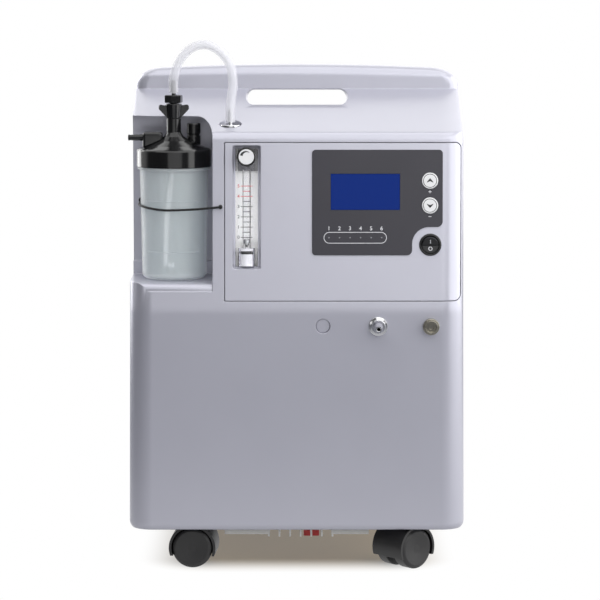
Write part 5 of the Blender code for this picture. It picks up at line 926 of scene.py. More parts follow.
def makeMeter():
    x, v = meter["at"]
    width, height, depth = meter["size"]
    back = depth - meter["proud"]
    low = v - height / 2
    axis, foot = meter["axis"], -height / 2 - brief
    block = softBoxBm((-width / 2, -height / 2, -back), (width / 2, height / 2, meter["proud"]),
                      meter["edgeR"], 4)
    bore = rodBm(meter["boreR"], (0, foot, -axis), (0, meter["boreTop"] - v, -axis))
    valve = rodBm(meter["stemR"], (0, meter["knobV"] - v, over), (0, meter["knobV"] - v, -meter["stemEnd"]))
    seatBore = rodBm(meter["seatR"] + fit, (0, foot, -axis),
                     (0, meter["seatTop"] - height / 2, -axis), 64)
    block = carve(carve(carve(block, bore), seatBore), valve)
    addPiece("meter_block", block, "acrylic", matrix=onUpper(x, v), replaced=["flowmeter_body"])

    upright = onUpper(x, low, -axis) @ Matrix.Rotation(-math.pi / 2, 4, "X")
    plugR = meter["boreR"] - fit
    plug = [(0, 0.020), (0.0014, 0.020), (0.0014, 0.0185), (plugR - 0.001, 0.0178), (plugR, 0.0165),
            (plugR, 0.0120), (plugR - 0.0008, 0.0114), (plugR - 0.0008, 0.0096), (plugR, 0.0090),
            (plugR, fit), (0, fit)]
    seatR, seatTop = meter["seatR"], meter["seatTop"] - fit
    seat = roundLine([(meter["boreR"], seatTop, 0), (seatR, seatTop, 0.0012),
                      (seatR, seatTop - 0.0030, 0.0003), (seatR - 0.0020, seatTop - 0.0030, 0),
                      (seatR - 0.0020, seatTop - 0.0062, 0), (seatR, seatTop - 0.0062, 0.0003),
                      (seatR, fit, 0), (meter["boreR"], fit, 0)], 5, False)
    addPiece("meter_seat", turnBm(seat, 64, True), seatPlastic, matrix=upright)
    addPiece("meter_seat_ring", tubeAlong(ringLine(seatR - 0.0014, seatTop - 0.0046, 64), 0.0015, 12),
             surfaces["mount_rubber"], matrix=upright)
    backing = -back - 0.0016
    inside, outside, tall = width / 2 + 0.0004, width / 2 + 0.0012, height / 2 - 0.0004
    channel = carve(boxBm((-outside, -tall, backing - 0.0008), (outside, tall, -0.0095)),
                    boxBm((-inside, -0.1, backing), (inside, 0.1, 0.1)))
    addPiece("meter_channel", channel, surfaces["scale_card"], matrix=onUpper(x, v))
    addPiece("meter_plug", turnBm(plug, 48), "chrome_plate", matrix=upright, replaced=["flowmeter_inlet"])
    addPiece("meter_seal", tubeAlong(ringLine(0.0041, 0.0105, 48), 0.0006, 12),
             surfaces["mount_rubber"], matrix=upright)
    bob = roundLine([(0, 0.008, 0), (0.0040, 0.008, 0.0008), (0.0040, 0.0042, 0.0008), (0.0016, 0, 0.0005),
                     (0, 0, 0)], 5, False)
    addPiece("meter_float", turnBm(bob, 48), "float_steel", "flow_float",
             upright @ Matrix.Translation((0, 0, meter["floatRise"])), replaced=["flowmeter_float"])

    knobV, rim, length, radius = meter["knobV"], meter["knobRim"], meter["knobLength"], meter["knobR"]
    knobAt = onUpper(x, knobV, meter["proud"])
    cap = roundLine([(0, length - 0.0005, 0), (radius - rim, length - 0.0005, 0),
                     (radius - rim, length, 0.0002), (radius, length, 0.0008), (radius, fit, 0),
                     (0.003, fit, 0), (0.003, -0.010, 0), (0, -0.010, 0)], 5, False)
    addPiece("meter_knob", turnBm(cap, 96), "black_gloss", "flow_knob", knobAt, replaced=["flowmeter_knob"])
    faceR, faceZ, arrowZ = radius - rim - fit, length - 0.00042, length - 0.00015
    face = turnBm([(0, 0.0002), (faceR, 0.0002), (faceR, -0.00005)], 72)
    addPiece("knob_face", face, surfaces["white_plastic"], "flow_knob",
             knobAt @ Matrix.Translation((0, 0, faceZ)))
    sweep, steps, arrowR = [], 24, 0.0054
    for side in (0.6, -0.6):
        for k in range(steps + 1) if side > 0 else range(steps, -1, -1):
            share = k / steps
            angle = math.radians(55 + 112 * share)
            r = arrowR + (0.0003 + 0.0022 * share) * side
            sweep.append((r * math.cos(angle), r * math.sin(angle)))
    addPiece("knob_arrow", flatBm(sweep), blackInk, "flow_knob", knobAt @ Matrix.Translation((0, 0, arrowZ)))
    nut = boxBm((-0.0095, knobV - v - 0.0145, -back + 0.0004), (0.0095, knobV - v + 0.0078, -back + 0.0012))
    addPiece("valve_nut", nut, greyNylon, matrix=onUpper(x, v))


def makeScale():
    # printed marks 0 to 5 on the face of the block, the top two in red
    x, line, redFrom = meter["at"][0], 0.00035, 8
    for k in range(2 * meter["marks"] + 1):
        major = k % 2 == 0
        half = 0.0062 if major else 0.0040
        ink = redInk if k >= redFrom else blackInk
        at = onUpper(x, meter["zeroV"] + meter["stepV"] * k, meter["proud"] + inkLift)
        bar = flatBm([(-half, -line), (half, -line), (half, line), (-half, line)])
        addPiece("scale_mark_%d" % k, bar, ink, matrix=at)
        if major:
            addPiece("scale_number_%d" % (k // 2), letterBm(str(k // 2), 0.0032), ink,
                     matrix=at @ Matrix.Translation((-0.0083, 0, 0)))


# fittings on the lower front and the roof
ports = {"at": [onLower(x, -shell["portDrop"]) for x, _ in shell["portHoles"]],
         "barbRings": 2, "barbRoot": 0.6, "barbRidge": (0.78, 0.88)}


def barbLine(top, root, radius, neck):
    # the ridges that hold a pushed-on tube, from the tip down
    pitch = (top - root) / (ports["barbRings"] + ports["barbRoot"])
    ridgeTop, ridgeLow = ports["barbRidge"]
    points = []
    for i in range(ports["barbRings"]):
        z = top - pitch * i
        points += [(neck, z), (radius, z - pitch * ridgeTop), (radius, z - pitch * ridgeLow)]
    return points + [(neck, top - pitch * ports["barbRings"]), (neck, root)]


def makePorts():
    plugAt, outletAt, nebulizerAt = ports["at"]
    outlet = [(0.0018, 0.0216), (0.0022, 0.022)] + barbLine(0.022, 0.006, 0.0050, 0.0036)
    outlet += roundLine([(0.0036, 0.006, 0), (0.0075, 0.006, 0.0006), (0.0075, 0.0029, 0),
                         (0.010, 0.0024, 0.0005), (0.010, fit, 0)], 5, False)[1:]
    outlet += [(0.0050, fit), (0.0050, -0.014), (0.0018, -0.014)]
    addPiece("outlet_barb", turnBm(outlet, 64, True), "chrome_plate", matrix=outletAt,
             replaced=["oxygen_outlet"])
    nebulizer = [(0, 0.002), (0.003, 0.002), (0.003, 0.004), (0.0055, 0.004)]
    nebulizer += roundLine([(0.0055, 0.004, 0), (0.0055, 0.009, 0.0003), (0.0070, 0.009, 0.0004),
                            (0.0070, 0.006, 0), (0.0087, 0.006, 0.0008), (0.0087, fit, 0)], 5, False)[1:]
    nebulizer += [(0.0065, fit), (0.0065, -0.014), (0, -0.014)]
    addPiece("nebulizer_cup", turnBm(nebulizer), "nickel_plate", matrix=nebulizerAt,
             replaced=["nebulizer_port"])
    plug = roundLine([(0, -0.0013, 0), (0.0073, -0.0015, 0.0006), (0.0073, -0.0043, 0)], 5, False)
    plug += [(0.0085, -0.0043), (0.0085, -0.0052), (0, -0.0052)]
    addPiece("blank_plug", turnBm(plug), "housing_abs", matrix=plugAt, replaced=["port_plug"])
    supply = [(0.0013, 0.0185)] + barbLine(0.0185, 0.0025, 0.0030, 0.0024)
    supply += roundLine([(0.0024, 0.0025, 0), (0.0108, 0.0025, 0.0010), (0.0108, 0, 0)], 6, False)[1:]
    supply += [(0.0030, 0), (0.0030, -0.012), (0.0013, -0.012)]
    x, y, z = shell["supply"]
    addPiece("supply_fitting", turnBm(supply, 64, True), "chrome_plate",
             matrix=Matrix.Translation((x, y, z + fit)), replaced=["supply_port"])


# humidifier: bottle, screw lid with its fittings, dip tube and strap
jar = {
    "x": -0.1297, "y": -0.1035, "baseZ": 0.3088, "height": 0.130, "topR": 0.0364, "lowR": 0.0340,
    "wall": 0.002, "edgeR": 0.006,
    # lid, its dome as (share of the radius, rise)
    "bandZ": 0.4273, "bandHeight": 0.0182, "lidR": 0.0390, "stemR": 0.0076, "stemTop": 0.4775,
    "dome": ((0.26, 0.0135), (0.43, 0.0090), (0.72, 0.0040), (0.92, 0.0010)),
    "neckRise": 0.0175, "boreR": 0.0039,
    # fittings on the lid
    "nutZ": 0.4778, "nutHeight": 0.0155, "nutTurn": math.radians(9),
    "adapterZ": 0.4936, "adapterTurn": math.radians(20),
    "block": (0.021, 0.015, 0.022), "blockEdgeR": 0.003, "blockX": -0.0222, "blockRise": 0.018,
    "nozzleRise": 0.012, "nozzle": 0.0155,
    "relief": (0.0205, 0.0130), "reliefR": 0.0072, "reliefRise": 0.0265,
}


def jarAt(z):
    return Matrix.Translation((jar["x"], jar["y"], z))


def lidLine(grow=0.0):
    # the lid's outside from the stem down to its band
    band, radius = jar["bandHeight"], jar["lidR"]
    stem, neck = jar["stemR"] + grow, band + jar["neckRise"] + grow
    dome = [(share * radius + grow, band + rise + grow, 0.006) for share, rise in jar["dome"]]
    return roundLine([(stem, jar["stemTop"] - jar["bandZ"] + grow, 0), (stem, neck, 0.0015)] + dome
                     + [(radius - 0.001 + grow, band + grow, 0.0008), (radius + grow, band - 0.0012, 0.0008),
                        (radius + grow, 0, 0)], 5, False)


def lidClearBm():
    # the room that the lid takes, cut from the fittings that stand on it
    grow = fit
    profile = [(0, jar["stemTop"] - jar["bandZ"] + grow)] + lidLine(grow) + [(0, 0)]
    return moved(turnBm(profile, 96), jarAt(jar["bandZ"]))


def makeBottle():
    outer = roundLine([(jar["topR"], jar["height"], 0), (jar["lowR"], 0, jar["edgeR"]),
                       (0, 0.0006, 0)], 8, False)
    inner = roundLine([(0, jar["wall"] + 0.0006, 0),
                       (jar["lowR"] - jar["wall"], jar["wall"], jar["edgeR"] - jar["wall"]),
                       (jar["topR"] - jar["wall"], jar["height"], 0)], 8, False)
    addPiece("bottle", turnBm(outer + inner, 96, True), "bottle_pp", matrix=jarAt(jar["baseZ"]),
             replaced=["humidifier_bottle"])
    rim = ringLine(jar["topR"] + 0.0007, jar["bandZ"] - jar["baseZ"] - 0.0018, 96)
    addPiece("bottle_rim", tubeAlong(rim, 0.0015, 14), surfaces["bottle_pp"], matrix=jarAt(jar["baseZ"]))
    line, sweep, steps = 0.0010, 104, 40
    for name, z in (("level_high", 0.0835), ("level_low", 0.0300)):
        radius = jar["lowR"] + (jar["topR"] - jar["lowR"]) * z / jar["height"]
        points = [(radius * math.sin(a), -radius * math.cos(a), z) for a in
                  (math.radians(-sweep / 2 + sweep * k / steps) for k in range(steps + 1))]
        addPiece(name, tubeAlong(points, line / 2, 10), surfaces["bottle_pp"], matrix=jarAt(jar["baseZ"]))

    under = [(0.0367, 0), (0.0367, 0.0118), (0.0070, 0.0118), (jar["boreR"], 0.0155)]
    lid = turnBm([(jar["boreR"], jar["stemTop"] - jar["bandZ"])] + lidLine() + under, 96, True)
    addPiece("lid", lid, "black_gloss", matrix=jarAt(jar["bandZ"]), replaced=["humidifier_lid"])

    low, top, lean = jar["baseZ"] + 0.013, 0.4428, 0.009
    bends = ((0, 0), (0.2, 0.2), (0.75, 0.55), (1, 0.95))
    route = [(jar["x"] - lean * a, jar["y"], top + (low - top) * d) for a, d in bends]
    route += [(jar["x"] - lean + 0.002, jar["y"], low + 0.001), (jar["x"], jar["y"], low)]
    addPiece("dip_pipe", tubeAlong(smoothRoute(route, 0.003), 0.0030, 24), pipeWhite, slot="white_plastic",
             replaced=["dip_tube"])


def makeFittings():
    height, hub, bore = jar["nutHeight"], 0.0086, jar["boreR"]
    nut = turnBm(roundLine([(bore, height, 0), (hub, height, 0.0010), (jar["stemR"], 0, 0.0006),
                            (bore, 0, 0)], 5, False), 64, True)
    half, foot, tip = 0.016, 0.0071, height - 0.0005
    wings = wallPrism(roundLine([(-foot, 0.0005, 0), (foot, 0.0005, 0), (half, 0.0098, 0.0030),
                                 (half - 0.0005, tip, 0.0022), (0.0105, tip - 0.0012, 0.003),
                                 (-0.0105, tip - 0.0012, 0.003), (0.0005 - half, tip, 0.0022),
                                 (-half, 0.0098, 0.0030)], 6), -0.0029, 0.0029)
    wings = carve(wings, rodBm(bore + 0.001, (0, 0, -0.02), (0, 0, 0.03)))
    addPiece("nut_wings", carve(nut, wings, "UNION"), "black_gloss", "humidifier_nut",
             jarAt(jar["nutZ"]) @ Matrix.Rotation(jar["nutTurn"], 4, "Z"), replaced=["wing_nut"])

    adapter = [(0.0013, 0.024)] + barbLine(0.024, 0.0085, 0.0030, 0.0024)
    adapter += [(0.0050, 0.0085), (0.0058, 0.0080), (0.0058, 0), (0.0036, 0), (0.0036, -0.0505),
                (0.0013, -0.0505)]
    hexagon = turnBm([(0.0048, 0.0006), (0.0094, 0.0006), (0.0099, 0.0012),
                      (0.0099, 0.0080), (0.0094, 0.0086), (0.0048, 0.0086)], 6, True)
    addPiece("adapter", carve(turnBm(adapter, 48, True), hexagon, "UNION"), "black_gloss",
             matrix=jarAt(jar["adapterZ"]) @ Matrix.Rotation(jar["adapterTurn"], 4, "Z"),
             replaced=["inlet_adapter"])

    lidTop = jar["bandZ"] + jar["bandHeight"]
    width, depth, tall = jar["block"]
    x, y, z = jar["x"] + jar["blockX"], jar["y"], lidTop + jar["blockRise"] - tall / 2
    block = softBoxBm((x - width / 2, y - depth / 2, z - tall / 2),
                      (x + width / 2, y + depth / 2, z + tall / 2), jar["blockEdgeR"], 5)
    root, nozzleZ = x - width / 2, lidTop + jar["nozzleRise"]
    length = jar["nozzle"]
    nozzle = [(0, -0.006), (0.0036, -0.006), (0.0036, 0.002), (0.0031, 0.0045), (0.0034, 0.0062),
              (0.0029, length - 0.0015), (0.0034, length - 0.0012), (0.0028, length), (0, length)]
    spin = Matrix.Translation((root, y, nozzleZ)) @ Matrix.Rotation(-math.pi / 2, 4, "Y")
    block = carve(block, moved(turnBm(nozzle, 48), spin), "UNION")
    block = carve(block, rodBm(0.0017, (root - over, y, nozzleZ), (root + 0.006, y, nozzleZ), 32))
    addPiece("outlet_elbow", carve(block, lidClearBm()), "black_gloss", replaced=["humidifier_outlet"])

    radius, rise = jar["reliefR"], jar["reliefRise"] + 0.002
    relief = roundLine([(0, rise, 0), (radius, rise, 0.0012), (radius, rise - 0.011, 0.0003),
                        (radius - 0.0008, rise - 0.0118, 0), (radius - 0.0008, rise - 0.0132, 0),
                        (radius, rise - 0.014, 0.0003), (radius, 0, 0), (0, 0, 0)], 5, False)
    valve = moved(turnBm(relief), jarAt(lidTop - 0.002) @ Matrix.Translation((*jar["relief"], 0)))
    addPiece("relief_cap", carve(valve, lidClearBm()), "black_gloss", replaced=["relief_valve"])


# elastic strap from the back of the recess, round the bottle, to a bead on the front
strap = {"r": 0.0012, "z": 0.3834, "left": 0.0035, "right": 0.0046, "beadX": -0.0795, "beadR": 0.0022,
         "standoff": 0.0045}


def makeStrap():
    # half a turn on the bottle, then straight on along the tangent
    share = (strap["z"] - jar["baseZ"] + strap["right"]) / jar["height"]
    reach = jar["lowR"] + (jar["topR"] - jar["lowR"]) * share + strap["r"] + fit
    beadZ = strap["z"] + strap["right"]
    beadY = front["y"] + (beadZ - front["creaseZ"]) * math.tan(front["upperLean"]) - strap["standoff"]
    toBead = Vector((strap["beadX"] - jar["x"], beadY - jar["y"]))
    tangent = math.atan2(toBead.y, toBead.x) - math.acos(reach / toBead.length)
    points = [(jar["x"] - reach, front["y"] + shell["recessDepth"] - fit,
               strap["z"] + strap["left"])]
    for k in range(routeSteps + 1):
        angle = -math.pi + (tangent + math.pi) * k / routeSteps
        x, y = reach * math.cos(angle), reach * math.sin(angle)
        lift = strap["left"] * (x / reach) ** 2 if x < 0 else strap["right"] * (x / toBead.x) ** 2
        points.append((jar["x"] + x, jar["y"] + y, strap["z"] + lift))
    start, last, even = points[-1], 8, 0.25
    for k in range(1, last + 1):
        share = k / last
        lift = (beadZ - start[2]) * (even * share + (1 - even) * share * share)
        x, y = start[0] + (strap["beadX"] - start[0]) * share, start[1] + (beadY - start[1]) * share
        points.append((x, y, start[2] + lift))
    cord = tubeAlong(smoothRoute(points, 0.0025), strap["r"], 16)
    bead = roundLine([(0, 0.0018, 0), (strap["beadR"], 0.0018, 0.0014), (strap["beadR"], -0.0036, 0),
                      (0, -0.0036, 0)], 6, False)
    bead = moved(turnBm(bead, 32), Matrix.Translation((strap["beadX"], beadY, beadZ)) @ outwards)
    anchor = roundLine([(0, 0.0024, 0), (0.0030, 0.0020, 0.0012), (0.0034, 0, 0), (0, 0, 0)], 6, False)
    anchor = moved(turnBm(anchor, 32), Matrix.Translation(points[0]) @ outwards)
    addPiece("strap_cord", carve(carve(cord, bead, "UNION"), anchor, "UNION"), "elastic",
             replaced=["bottle_strap"])


# supply hose from the humidifier's adapter, over an arch, to the port on the roof
hose = {
    "radius": 0.0050, "bore": 0.0036, "startZ": (0.5042, 0.5109, 0.5176), "endZ": (0.4876, 0.4809, 0.4742),
    "arch": ((0.008, 0.0034), (0.042, 0.0114), (0.113, 0.0209), (0.243, 0.0306), (0.405, 0.0365),
             (0.587, 0.0376), (0.749, 0.0338), (0.894, 0.0264), (0.993, 0.0168), (1.037, 0.0051),
             (1.045, -0.0066), (1.015, -0.0191)),
}


def makeHose():
    # three points along each fitting, the arch between them
    startX, startY = jar["x"], jar["y"]
    endX, endY, _ = shell["supply"]
    points = [(startX, startY, z) for z in hose["startZ"]]
    for i, (share, rise) in enumerate(hose["arch"]):
        along = (i + 1) / (len(hose["arch"]) + 1)
        points.append((startX + (endX - startX) * share, startY + (endY - startY) * along,
                       hose["startZ"][-1] + rise))
    points += [(endX, endY, z) for z in hose["endZ"]]
    route = smoothRoute(points, 0.003)
    bm = tubeAlong(route, hose["radius"], 32, hose["bore"])
    piece = addPiece("supply_hose", bm, "silicone", replaced=["humidifier_tube"])


# twin-wheel casters
caster = {
    # (x, distance behind the front, turn in degrees)
    "spots": {"front_left": (-0.126, 0.050, -4), "front_right": (0.126, 0.050, 222),
              "rear_left": (-0.126, 0.282, 58), "rear_right": (0.126, 0.282, 131)},
    "wheelR": 0.0215, "width": 0.0155, "edge": 0.0035, "dish": 0.0016, "axleR": 0.0028,
    "axleZ": 0.0215 * math.cos(math.pi / 18), "hoodR": 0.0250, "web": 0.011, "webReach": 0.0188,
    "skirt": 0.0085, "trail": 0.016, "stemR": 0.0036, "bossR": 0.0105, "gap": 0.0008, "panZ": 0.052,
    "stem": 0.014,
}


def makeCaster(name):
    x, setback, turn = caster["spots"][name]
    swivel = Matrix.Translation((x, front["y"] + setback, 0)) @ Matrix.Rotation(math.radians(turn), 4, "Z")
    halfWeb, trail, axleZ = caster["web"] / 2, caster["trail"], caster["axleZ"]
    inner = halfWeb + caster["gap"]
    outer = inner + caster["width"]

    def across(radius, low, high):
        return rodBm(radius, (trail, low, axleZ), (trail, high, axleZ), 96)

    reach = outer + 0.02
    hood = across(caster["hoodR"], -outer, outer)
    for side in (-1, 1):
        hood = carve(hood, across(caster["wheelR"] + caster["gap"], side * halfWeb, side * reach))
    top, skirtZ = caster["panZ"] - fit, axleZ - caster["skirt"]
    bossLow = axleZ + caster["wheelR"] + caster["gap"]
    for bm in (boxBm((trail - caster["webReach"], -halfWeb, skirtZ),
                     (caster["stemR"] + halfWeb, halfWeb, top)),
               rodBm(caster["bossR"], (0, 0, bossLow), (0, 0, top)),
               rodBm(caster["stemR"], (0, 0, bossLow), (0, 0, caster["panZ"] + caster["stem"]))):
        hood = carve(hood, bm, "UNION")
    hood = carve(hood, boxBm((-far, -far, -far), (far, far, skirtZ)))
    hood = carve(hood, across(caster["axleR"] + fit, -far, far))
    addPiece("hood_" + name, hood, "black_nylon", "swivel_" + name, swivel, replaced=["caster_" + name])

    radius = caster["wheelR"]
    half = roundLine([(0, outer - caster["dish"], 0), (0.0045, outer - caster["dish"], 0.002),
                      (radius - caster["edge"], outer - 0.0002, 0.003), (radius, outer - 0.0021, 0.0025),
                      (radius, inner, 0.0008), (caster["axleR"], inner, 0)], 6, False)
    wheels = turnBm(half + [(r, -z) for r, z in reversed(half)], 96)
    addPiece("wheels_pair_" + name, wheels, "caster_tread", "wheels_" + name,
             swivel @ Matrix.Translation((trail, 0, axleZ)) @ outwards, replaced=["caster_wheels_" + name])


# exhaust grille under the base, open between its ribs, and the red transport knob behind them
grille = {
    "half": 0.07675, "setback": 0.030, "depth": 0.070, "topZ": 0.0517, "lowZ": 0.0359, "wall": 0.0026,
    "ribs": 7, "ribPitch": 0.0113, "ribX": 0.0042, "ribWidth": 0.0020, "ribDrop": 0.0026,
    "ribDepth": 0.0315, "ribLap": 0.001, "window": 0.0105, "slotStart": 0.042,
    "knob": (0.0158, -0.0840), "knobR": 0.0092, "stemR": 0.0030, "stem": 0.009, "grip": (0.0172, 0.0054),
    "gripDrop": 0.0098,
}


def makeGrille():
    half, wall, low, top = grille["half"], grille["wall"], grille["lowZ"], grille["topZ"]
    frontY = front["y"] + grille["setback"]
    backY, ribBack = frontY + grille["depth"], frontY + grille["ribDepth"]
    ribs = [grille["ribX"] + grille["ribPitch"] * (i - (grille["ribs"] - 1) / 2)
            for i in range(grille["ribs"])]
    duct = carve(boxBm((-half, frontY, low), (half, backY, top)),
                 boxBm((wall - half, frontY + wall, low + wall), (half - wall, backY - wall, top + brief)))
    duct = carve(duct, boxBm((ribs[0], frontY - brief, low - brief),
                             (ribs[-1], ribBack - grille["ribLap"], low + grille["window"])))
    halfRib, ribTop = grille["ribWidth"] / 2, low + grille["window"] + grille["ribLap"]
    for x in ribs:
        rib = boxBm((x - halfRib, frontY, low - grille["ribDrop"]), (x + halfRib, ribBack, ribTop))
        duct = carve(duct, rib, "UNION")
    for x in ribs[1:]:
        slotX, reach = x - grille["ribPitch"] / 2, grille["ribPitch"] / 2 - wall
        duct = carve(duct, boxBm((slotX - reach, frontY + grille["slotStart"], low - brief),
                                 (slotX + reach, backY - 2 * wall, low + 2 * wall)))
    knobX, knobY = grille["knob"]
    hole = rodBm(grille["stemR"] + fit, (knobX, knobY, low - brief), (knobX, knobY, low + brief))
    duct = carve(duct, hole)
    addPiece("exhaust_outlet", duct, offWhite, slot="housing_abs", replaced=["exhaust_grille"])

    radius, gripDrop = grille["knobR"], grille["gripDrop"]
    disc = roundLine([(0, grille["stem"], 0), (grille["stemR"], grille["stem"], 0.0005),
                      (grille["stemR"], -fit, 0), (radius, -fit, 0.0006), (radius, -0.0034, 0.0008),
                      (0, -0.0034, 0)], 5, False)
    grip = prismBm(roundRect(*grille["grip"], grille["grip"][1] / 2 - hair), -gripDrop, -0.0025)
    addPiece("transport_grip", carve(turnBm(disc, 64), grip, "UNION"), "red_plastic", "transport_lock",
             Matrix.Translation((knobX, knobY, low)), replaced=["transport_knob"])


# screws of the rear shell and the mains inlet
screws = {
    "rear": [(x, z) for z in (0.075, 0.260, 0.435) for x in (-0.150, 0.150)], "rearR": 0.0038,
    "inlet": [(x, 0.112) for x in (0.0850, 0.1250)], "inletR": 0.0026, "inletOut": 0.0033,
    "slot": (1.1, 0.28), "slotFloor": 0.15,
}


def makeScrew(name, x, y, z, radius):
    # a domed head with a cross recess
    head = turnBm(roundLine([(0, radius * 0.5, 0), (radius, radius * 0.42, radius * 0.4), (radius, 0, 0),
                             (0, 0, 0)], 5, False), 32)
    for wide, tall in (screws["slot"], screws["slot"][::-1]):
        head = carve(head, boxBm((-radius * wide / 2, -radius * tall / 2, radius * screws["slotFloor"]),
                                 (radius * wide / 2, radius * tall / 2, radius)))
    place = Matrix.Translation((x, y, z)) @ Matrix.Rotation(math.pi, 4, "Z") @ outwards
    addPiece(name, head, surfaces["float_steel"], matrix=place)


makeShells()
print("shells")
makePanel()
makeKeys()
makeLamps()
makeRocker()
print("panel")
makeMeter()
makeScale()
makePorts()
print("meter and ports")
makeBottle()
makeFittings()
makeStrap()
makeHose()
print("humidifier")
for name in caster["spots"]:
    makeCaster(name)
makeGrille()
for i, (x, z) in enumerate(screws["rear"]):
    makeScrew("rear_screw_%d" % (i + 1), x, shell["backY"], z, screws["rearR"])
for i, (x, z) in enumerate(screws["inlet"]):
    makeScrew("inlet_screw_%d" % (i + 1), x, shell["backY"] + screws["inletOut"], z, screws["inletR"])
print("casters and screws")


# light boxes, floor and white surround
lights = {
    "frontBox": {"at": (0.85, -2.6, 1.22), "aim": (0.2, 0, 0.35), "size": (2.0, 1.4), "power": 18.5},
    "topBox": {"at": (0.15, -0.75, 1.85), "aim": (0, 0, 0.35), "size": (3.0, 2.2), "power": 34},
    "backBox": {"at": (0.15, 2.2, 1.35), "aim": (0.1, 0, 0.90), "size": (3.2, 2.6), "power": 15},
    "rightBox": {"at": (1.8, -0.10, 0.75), "aim": (0, -0.1, 0.40), "size": (3.6, 1.7), "power": 44},
    "leftBox": {"at": (-1.5, 1.3, 0.8), "aim": (0, 0, 0.35), "size": (1.0, 1.6), "power": 20},
    "lowBox": {"at": (0.1, -2.4, 0.22), "aim": (0, 0, 0.10), "size": (1.8, 0.36), "power": 2.2},
    "bottleCard": {"at": (-1.1, -1.5, 0.50), "aim": (-0.11, -0.12, 0.33), "size": (0.5, 0.9), "power": 4.5,
                   "only": ("bottle", "bottle_rim", "dip_pipe")},
}
floorSet = {
    "half": 4.0, "z": -0.0004, "colour": "d0b78c", "bounce": "808288",
    # the contact shadow that is seen: the size of its core, its width and its depth
    "footprint": (0.095, 0.078, 0.0), "fade": 0.078, "least": 0.13,
    # the bright part that the housing mirrors
    "poolNear": 0.15, "poolFar": 0.88, "pool": 0.90, "litNear": 0.25, "litFar": 1.8, "litReach": 1.6,
}
surround = {"room": "f2f3f6", "roomPower": 0.14, "behindFrom": -0.1, "behindTo": 0.15}


def makeLights():
    for name, box in lights.items():
        data = bpy.data.lights.new(name, "AREA")
        data.shape = "RECTANGLE"
        data.size, data.size_y = box["size"]
        data.energy = box["power"]
        lamp = bpy.data.objects.new(name, data)
        lamp.location = box["at"]
        lamp.rotation_euler = (Vector(box["aim"]) - Vector(box["at"])).to_track_quat("-Z", "Y").to_euler()
        lamp.visible_camera = False
        bpy.context.scene.collection.objects.link(lamp)
        # the card is flagged off from all but the milky bottle, which gathers more light than its recess
        if "only" in box:
            lit = bpy.data.collections.new(name)
            for piece in box["only"]:
                lit.objects.link(bpy.data.objects[piece])
            lamp.light_linking.receiver_collection = lit


def seenBy(tree):
    # 1 for camera and glass rays: they see a white surround, while the light in the room stays plain
    path = addNode(tree, "ShaderNodeLightPath")
    return addNode(tree, "ShaderNodeMath", {"operation": "MAXIMUM"},
                   {0: path.outputs["Is Camera Ray"], 1: path.outputs["Is Transmission Ray"]}).outputs[0]


def makeBackdrop():
    world = bpy.data.worlds.new("surround")
    bpy.context.scene.world = world
    world.use_nodes = True
    tree = world.node_tree
    tree.nodes.clear()
    white = addNode(tree, "ShaderNodeBackground", {"Color": (1, 1, 1, 1), "Strength": 1.0})
    room = addNode(tree, "ShaderNodeBackground", {"Color": linear(surround["room"]),
                                                  "Strength": surround["roomPower"]})
    # mirrored in the housing, the backdrop behind it is white as well
    way = addNode(tree, "ShaderNodeSeparateXYZ",
                  links={0: addNode(tree, "ShaderNodeTexCoord").outputs["Generated"]})
    behind = addNode(tree, "ShaderNodeMapRange",
                     {"From Min": surround["behindFrom"], "From Max": surround["behindTo"]},
                     {"Value": way.outputs["Y"]})
    path = addNode(tree, "ShaderNodeLightPath")
    share = addNode(tree, "ShaderNodeMath", {"operation": "MULTIPLY_ADD", "use_clamp": True},
                    {0: behind.outputs["Result"], 1: path.outputs["Is Glossy Ray"], 2: seenBy(tree)})
    mix = addNode(tree, "ShaderNodeMixShader",
                  links={0: share.outputs[0], 1: room.outputs[0], 2: white.outputs[0]})
    addNode(tree, "ShaderNodeOutputWorld", links={"Surface": mix.outputs[0]})


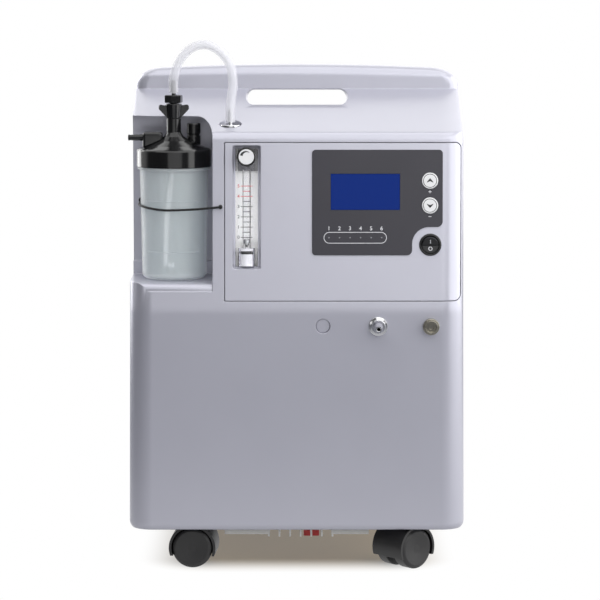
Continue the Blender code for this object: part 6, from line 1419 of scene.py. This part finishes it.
def makeFloor():
    bm = bmesh.new()
    bmesh.ops.create_grid(bm, x_segments=1, y_segments=1, size=floorSet["half"])
    mesh = bpy.data.meshes.new("floor")
    bm.to_mesh(mesh)
    bm.free()
    floor = bpy.data.objects.new("floor", mesh)
    floor.location.z = floorSet["z"]
    bpy.context.scene.collection.objects.link(floor)
    made = bpy.data.materials.new("painted floor")
    made.use_nodes = True
    tree = made.node_tree
    tree.nodes.clear()
    # warm grey where it is seen, a neutral grey in what it throws back on the housing
    tint = addNode(tree, "ShaderNodeMix", {"data_type": "RGBA", 6: linear(floorSet["bounce"]),
                                           7: linear(floorSet["colour"])}, {"Factor": seenBy(tree)})
    paint = addNode(tree, "ShaderNodeBsdfDiffuse", links={"Color": tint.outputs[2]})
    glow = addNode(tree, "ShaderNodeEmission", {"Color": (1, 1, 1, 1), "Strength": 1.0})
    where = addNode(tree, "ShaderNodeTexCoord").outputs["Object"]
    across = addNode(tree, "ShaderNodeVectorMath", {"operation": "ABSOLUTE"}, {0: where})
    beyond = addNode(tree, "ShaderNodeVectorMath", {"operation": "SUBTRACT", 1: floorSet["footprint"]},
                     {0: across.outputs[0]})
    outside = addNode(tree, "ShaderNodeVectorMath", {"operation": "MAXIMUM"}, {0: beyond.outputs[0]})
    reach = addNode(tree, "ShaderNodeVectorMath", {"operation": "LENGTH"}, {0: outside.outputs[0]})
    fade = addNode(tree, "ShaderNodeMapRange", {"From Max": floorSet["fade"], "To Min": floorSet["least"],
                                                "interpolation_type": "SMOOTHSTEP"},
                   {"Value": reach.outputs["Value"]})
    share = addNode(tree, "ShaderNodeMath", {"operation": "MULTIPLY"},
                    {0: fade.outputs["Result"], 1: seenBy(tree)})
    # mirrored in the housing, the floor is bright close by and below the right-hand light, and falls off
    # into the room
    side = addNode(tree, "ShaderNodeSeparateXYZ", links={0: where})
    lit = addNode(tree, "ShaderNodeMapRange",
                  {"From Min": floorSet["litNear"], "From Max": floorSet["litFar"],
                   "To Max": floorSet["litReach"]}, {"Value": side.outputs["X"]})
    away = addNode(tree, "ShaderNodeMath", {"operation": "SUBTRACT"},
                   {0: reach.outputs["Value"], 1: lit.outputs["Result"]})
    pool = addNode(tree, "ShaderNodeMapRange",
                   {"From Min": floorSet["poolNear"], "From Max": floorSet["poolFar"],
                    "To Min": floorSet["pool"], "To Max": 0.0}, {"Value": away.outputs[0]})
    path = addNode(tree, "ShaderNodeLightPath")
    share = addNode(tree, "ShaderNodeMath", {"operation": "MULTIPLY_ADD"},
                    {0: pool.outputs["Result"], 1: path.outputs["Is Glossy Ray"], 2: share.outputs[0]})
    mix = addNode(tree, "ShaderNodeMixShader",
                  links={0: share.outputs[0], 1: paint.outputs[0], 2: glow.outputs[0]})
    addNode(tree, "ShaderNodeOutputMaterial", links={"Surface": mix.outputs[0]})
    mesh.materials.append(made)


makeLights()
makeBackdrop()
makeFloor()
bpy.context.scene.view_settings.view_transform = "Standard"
print("light")
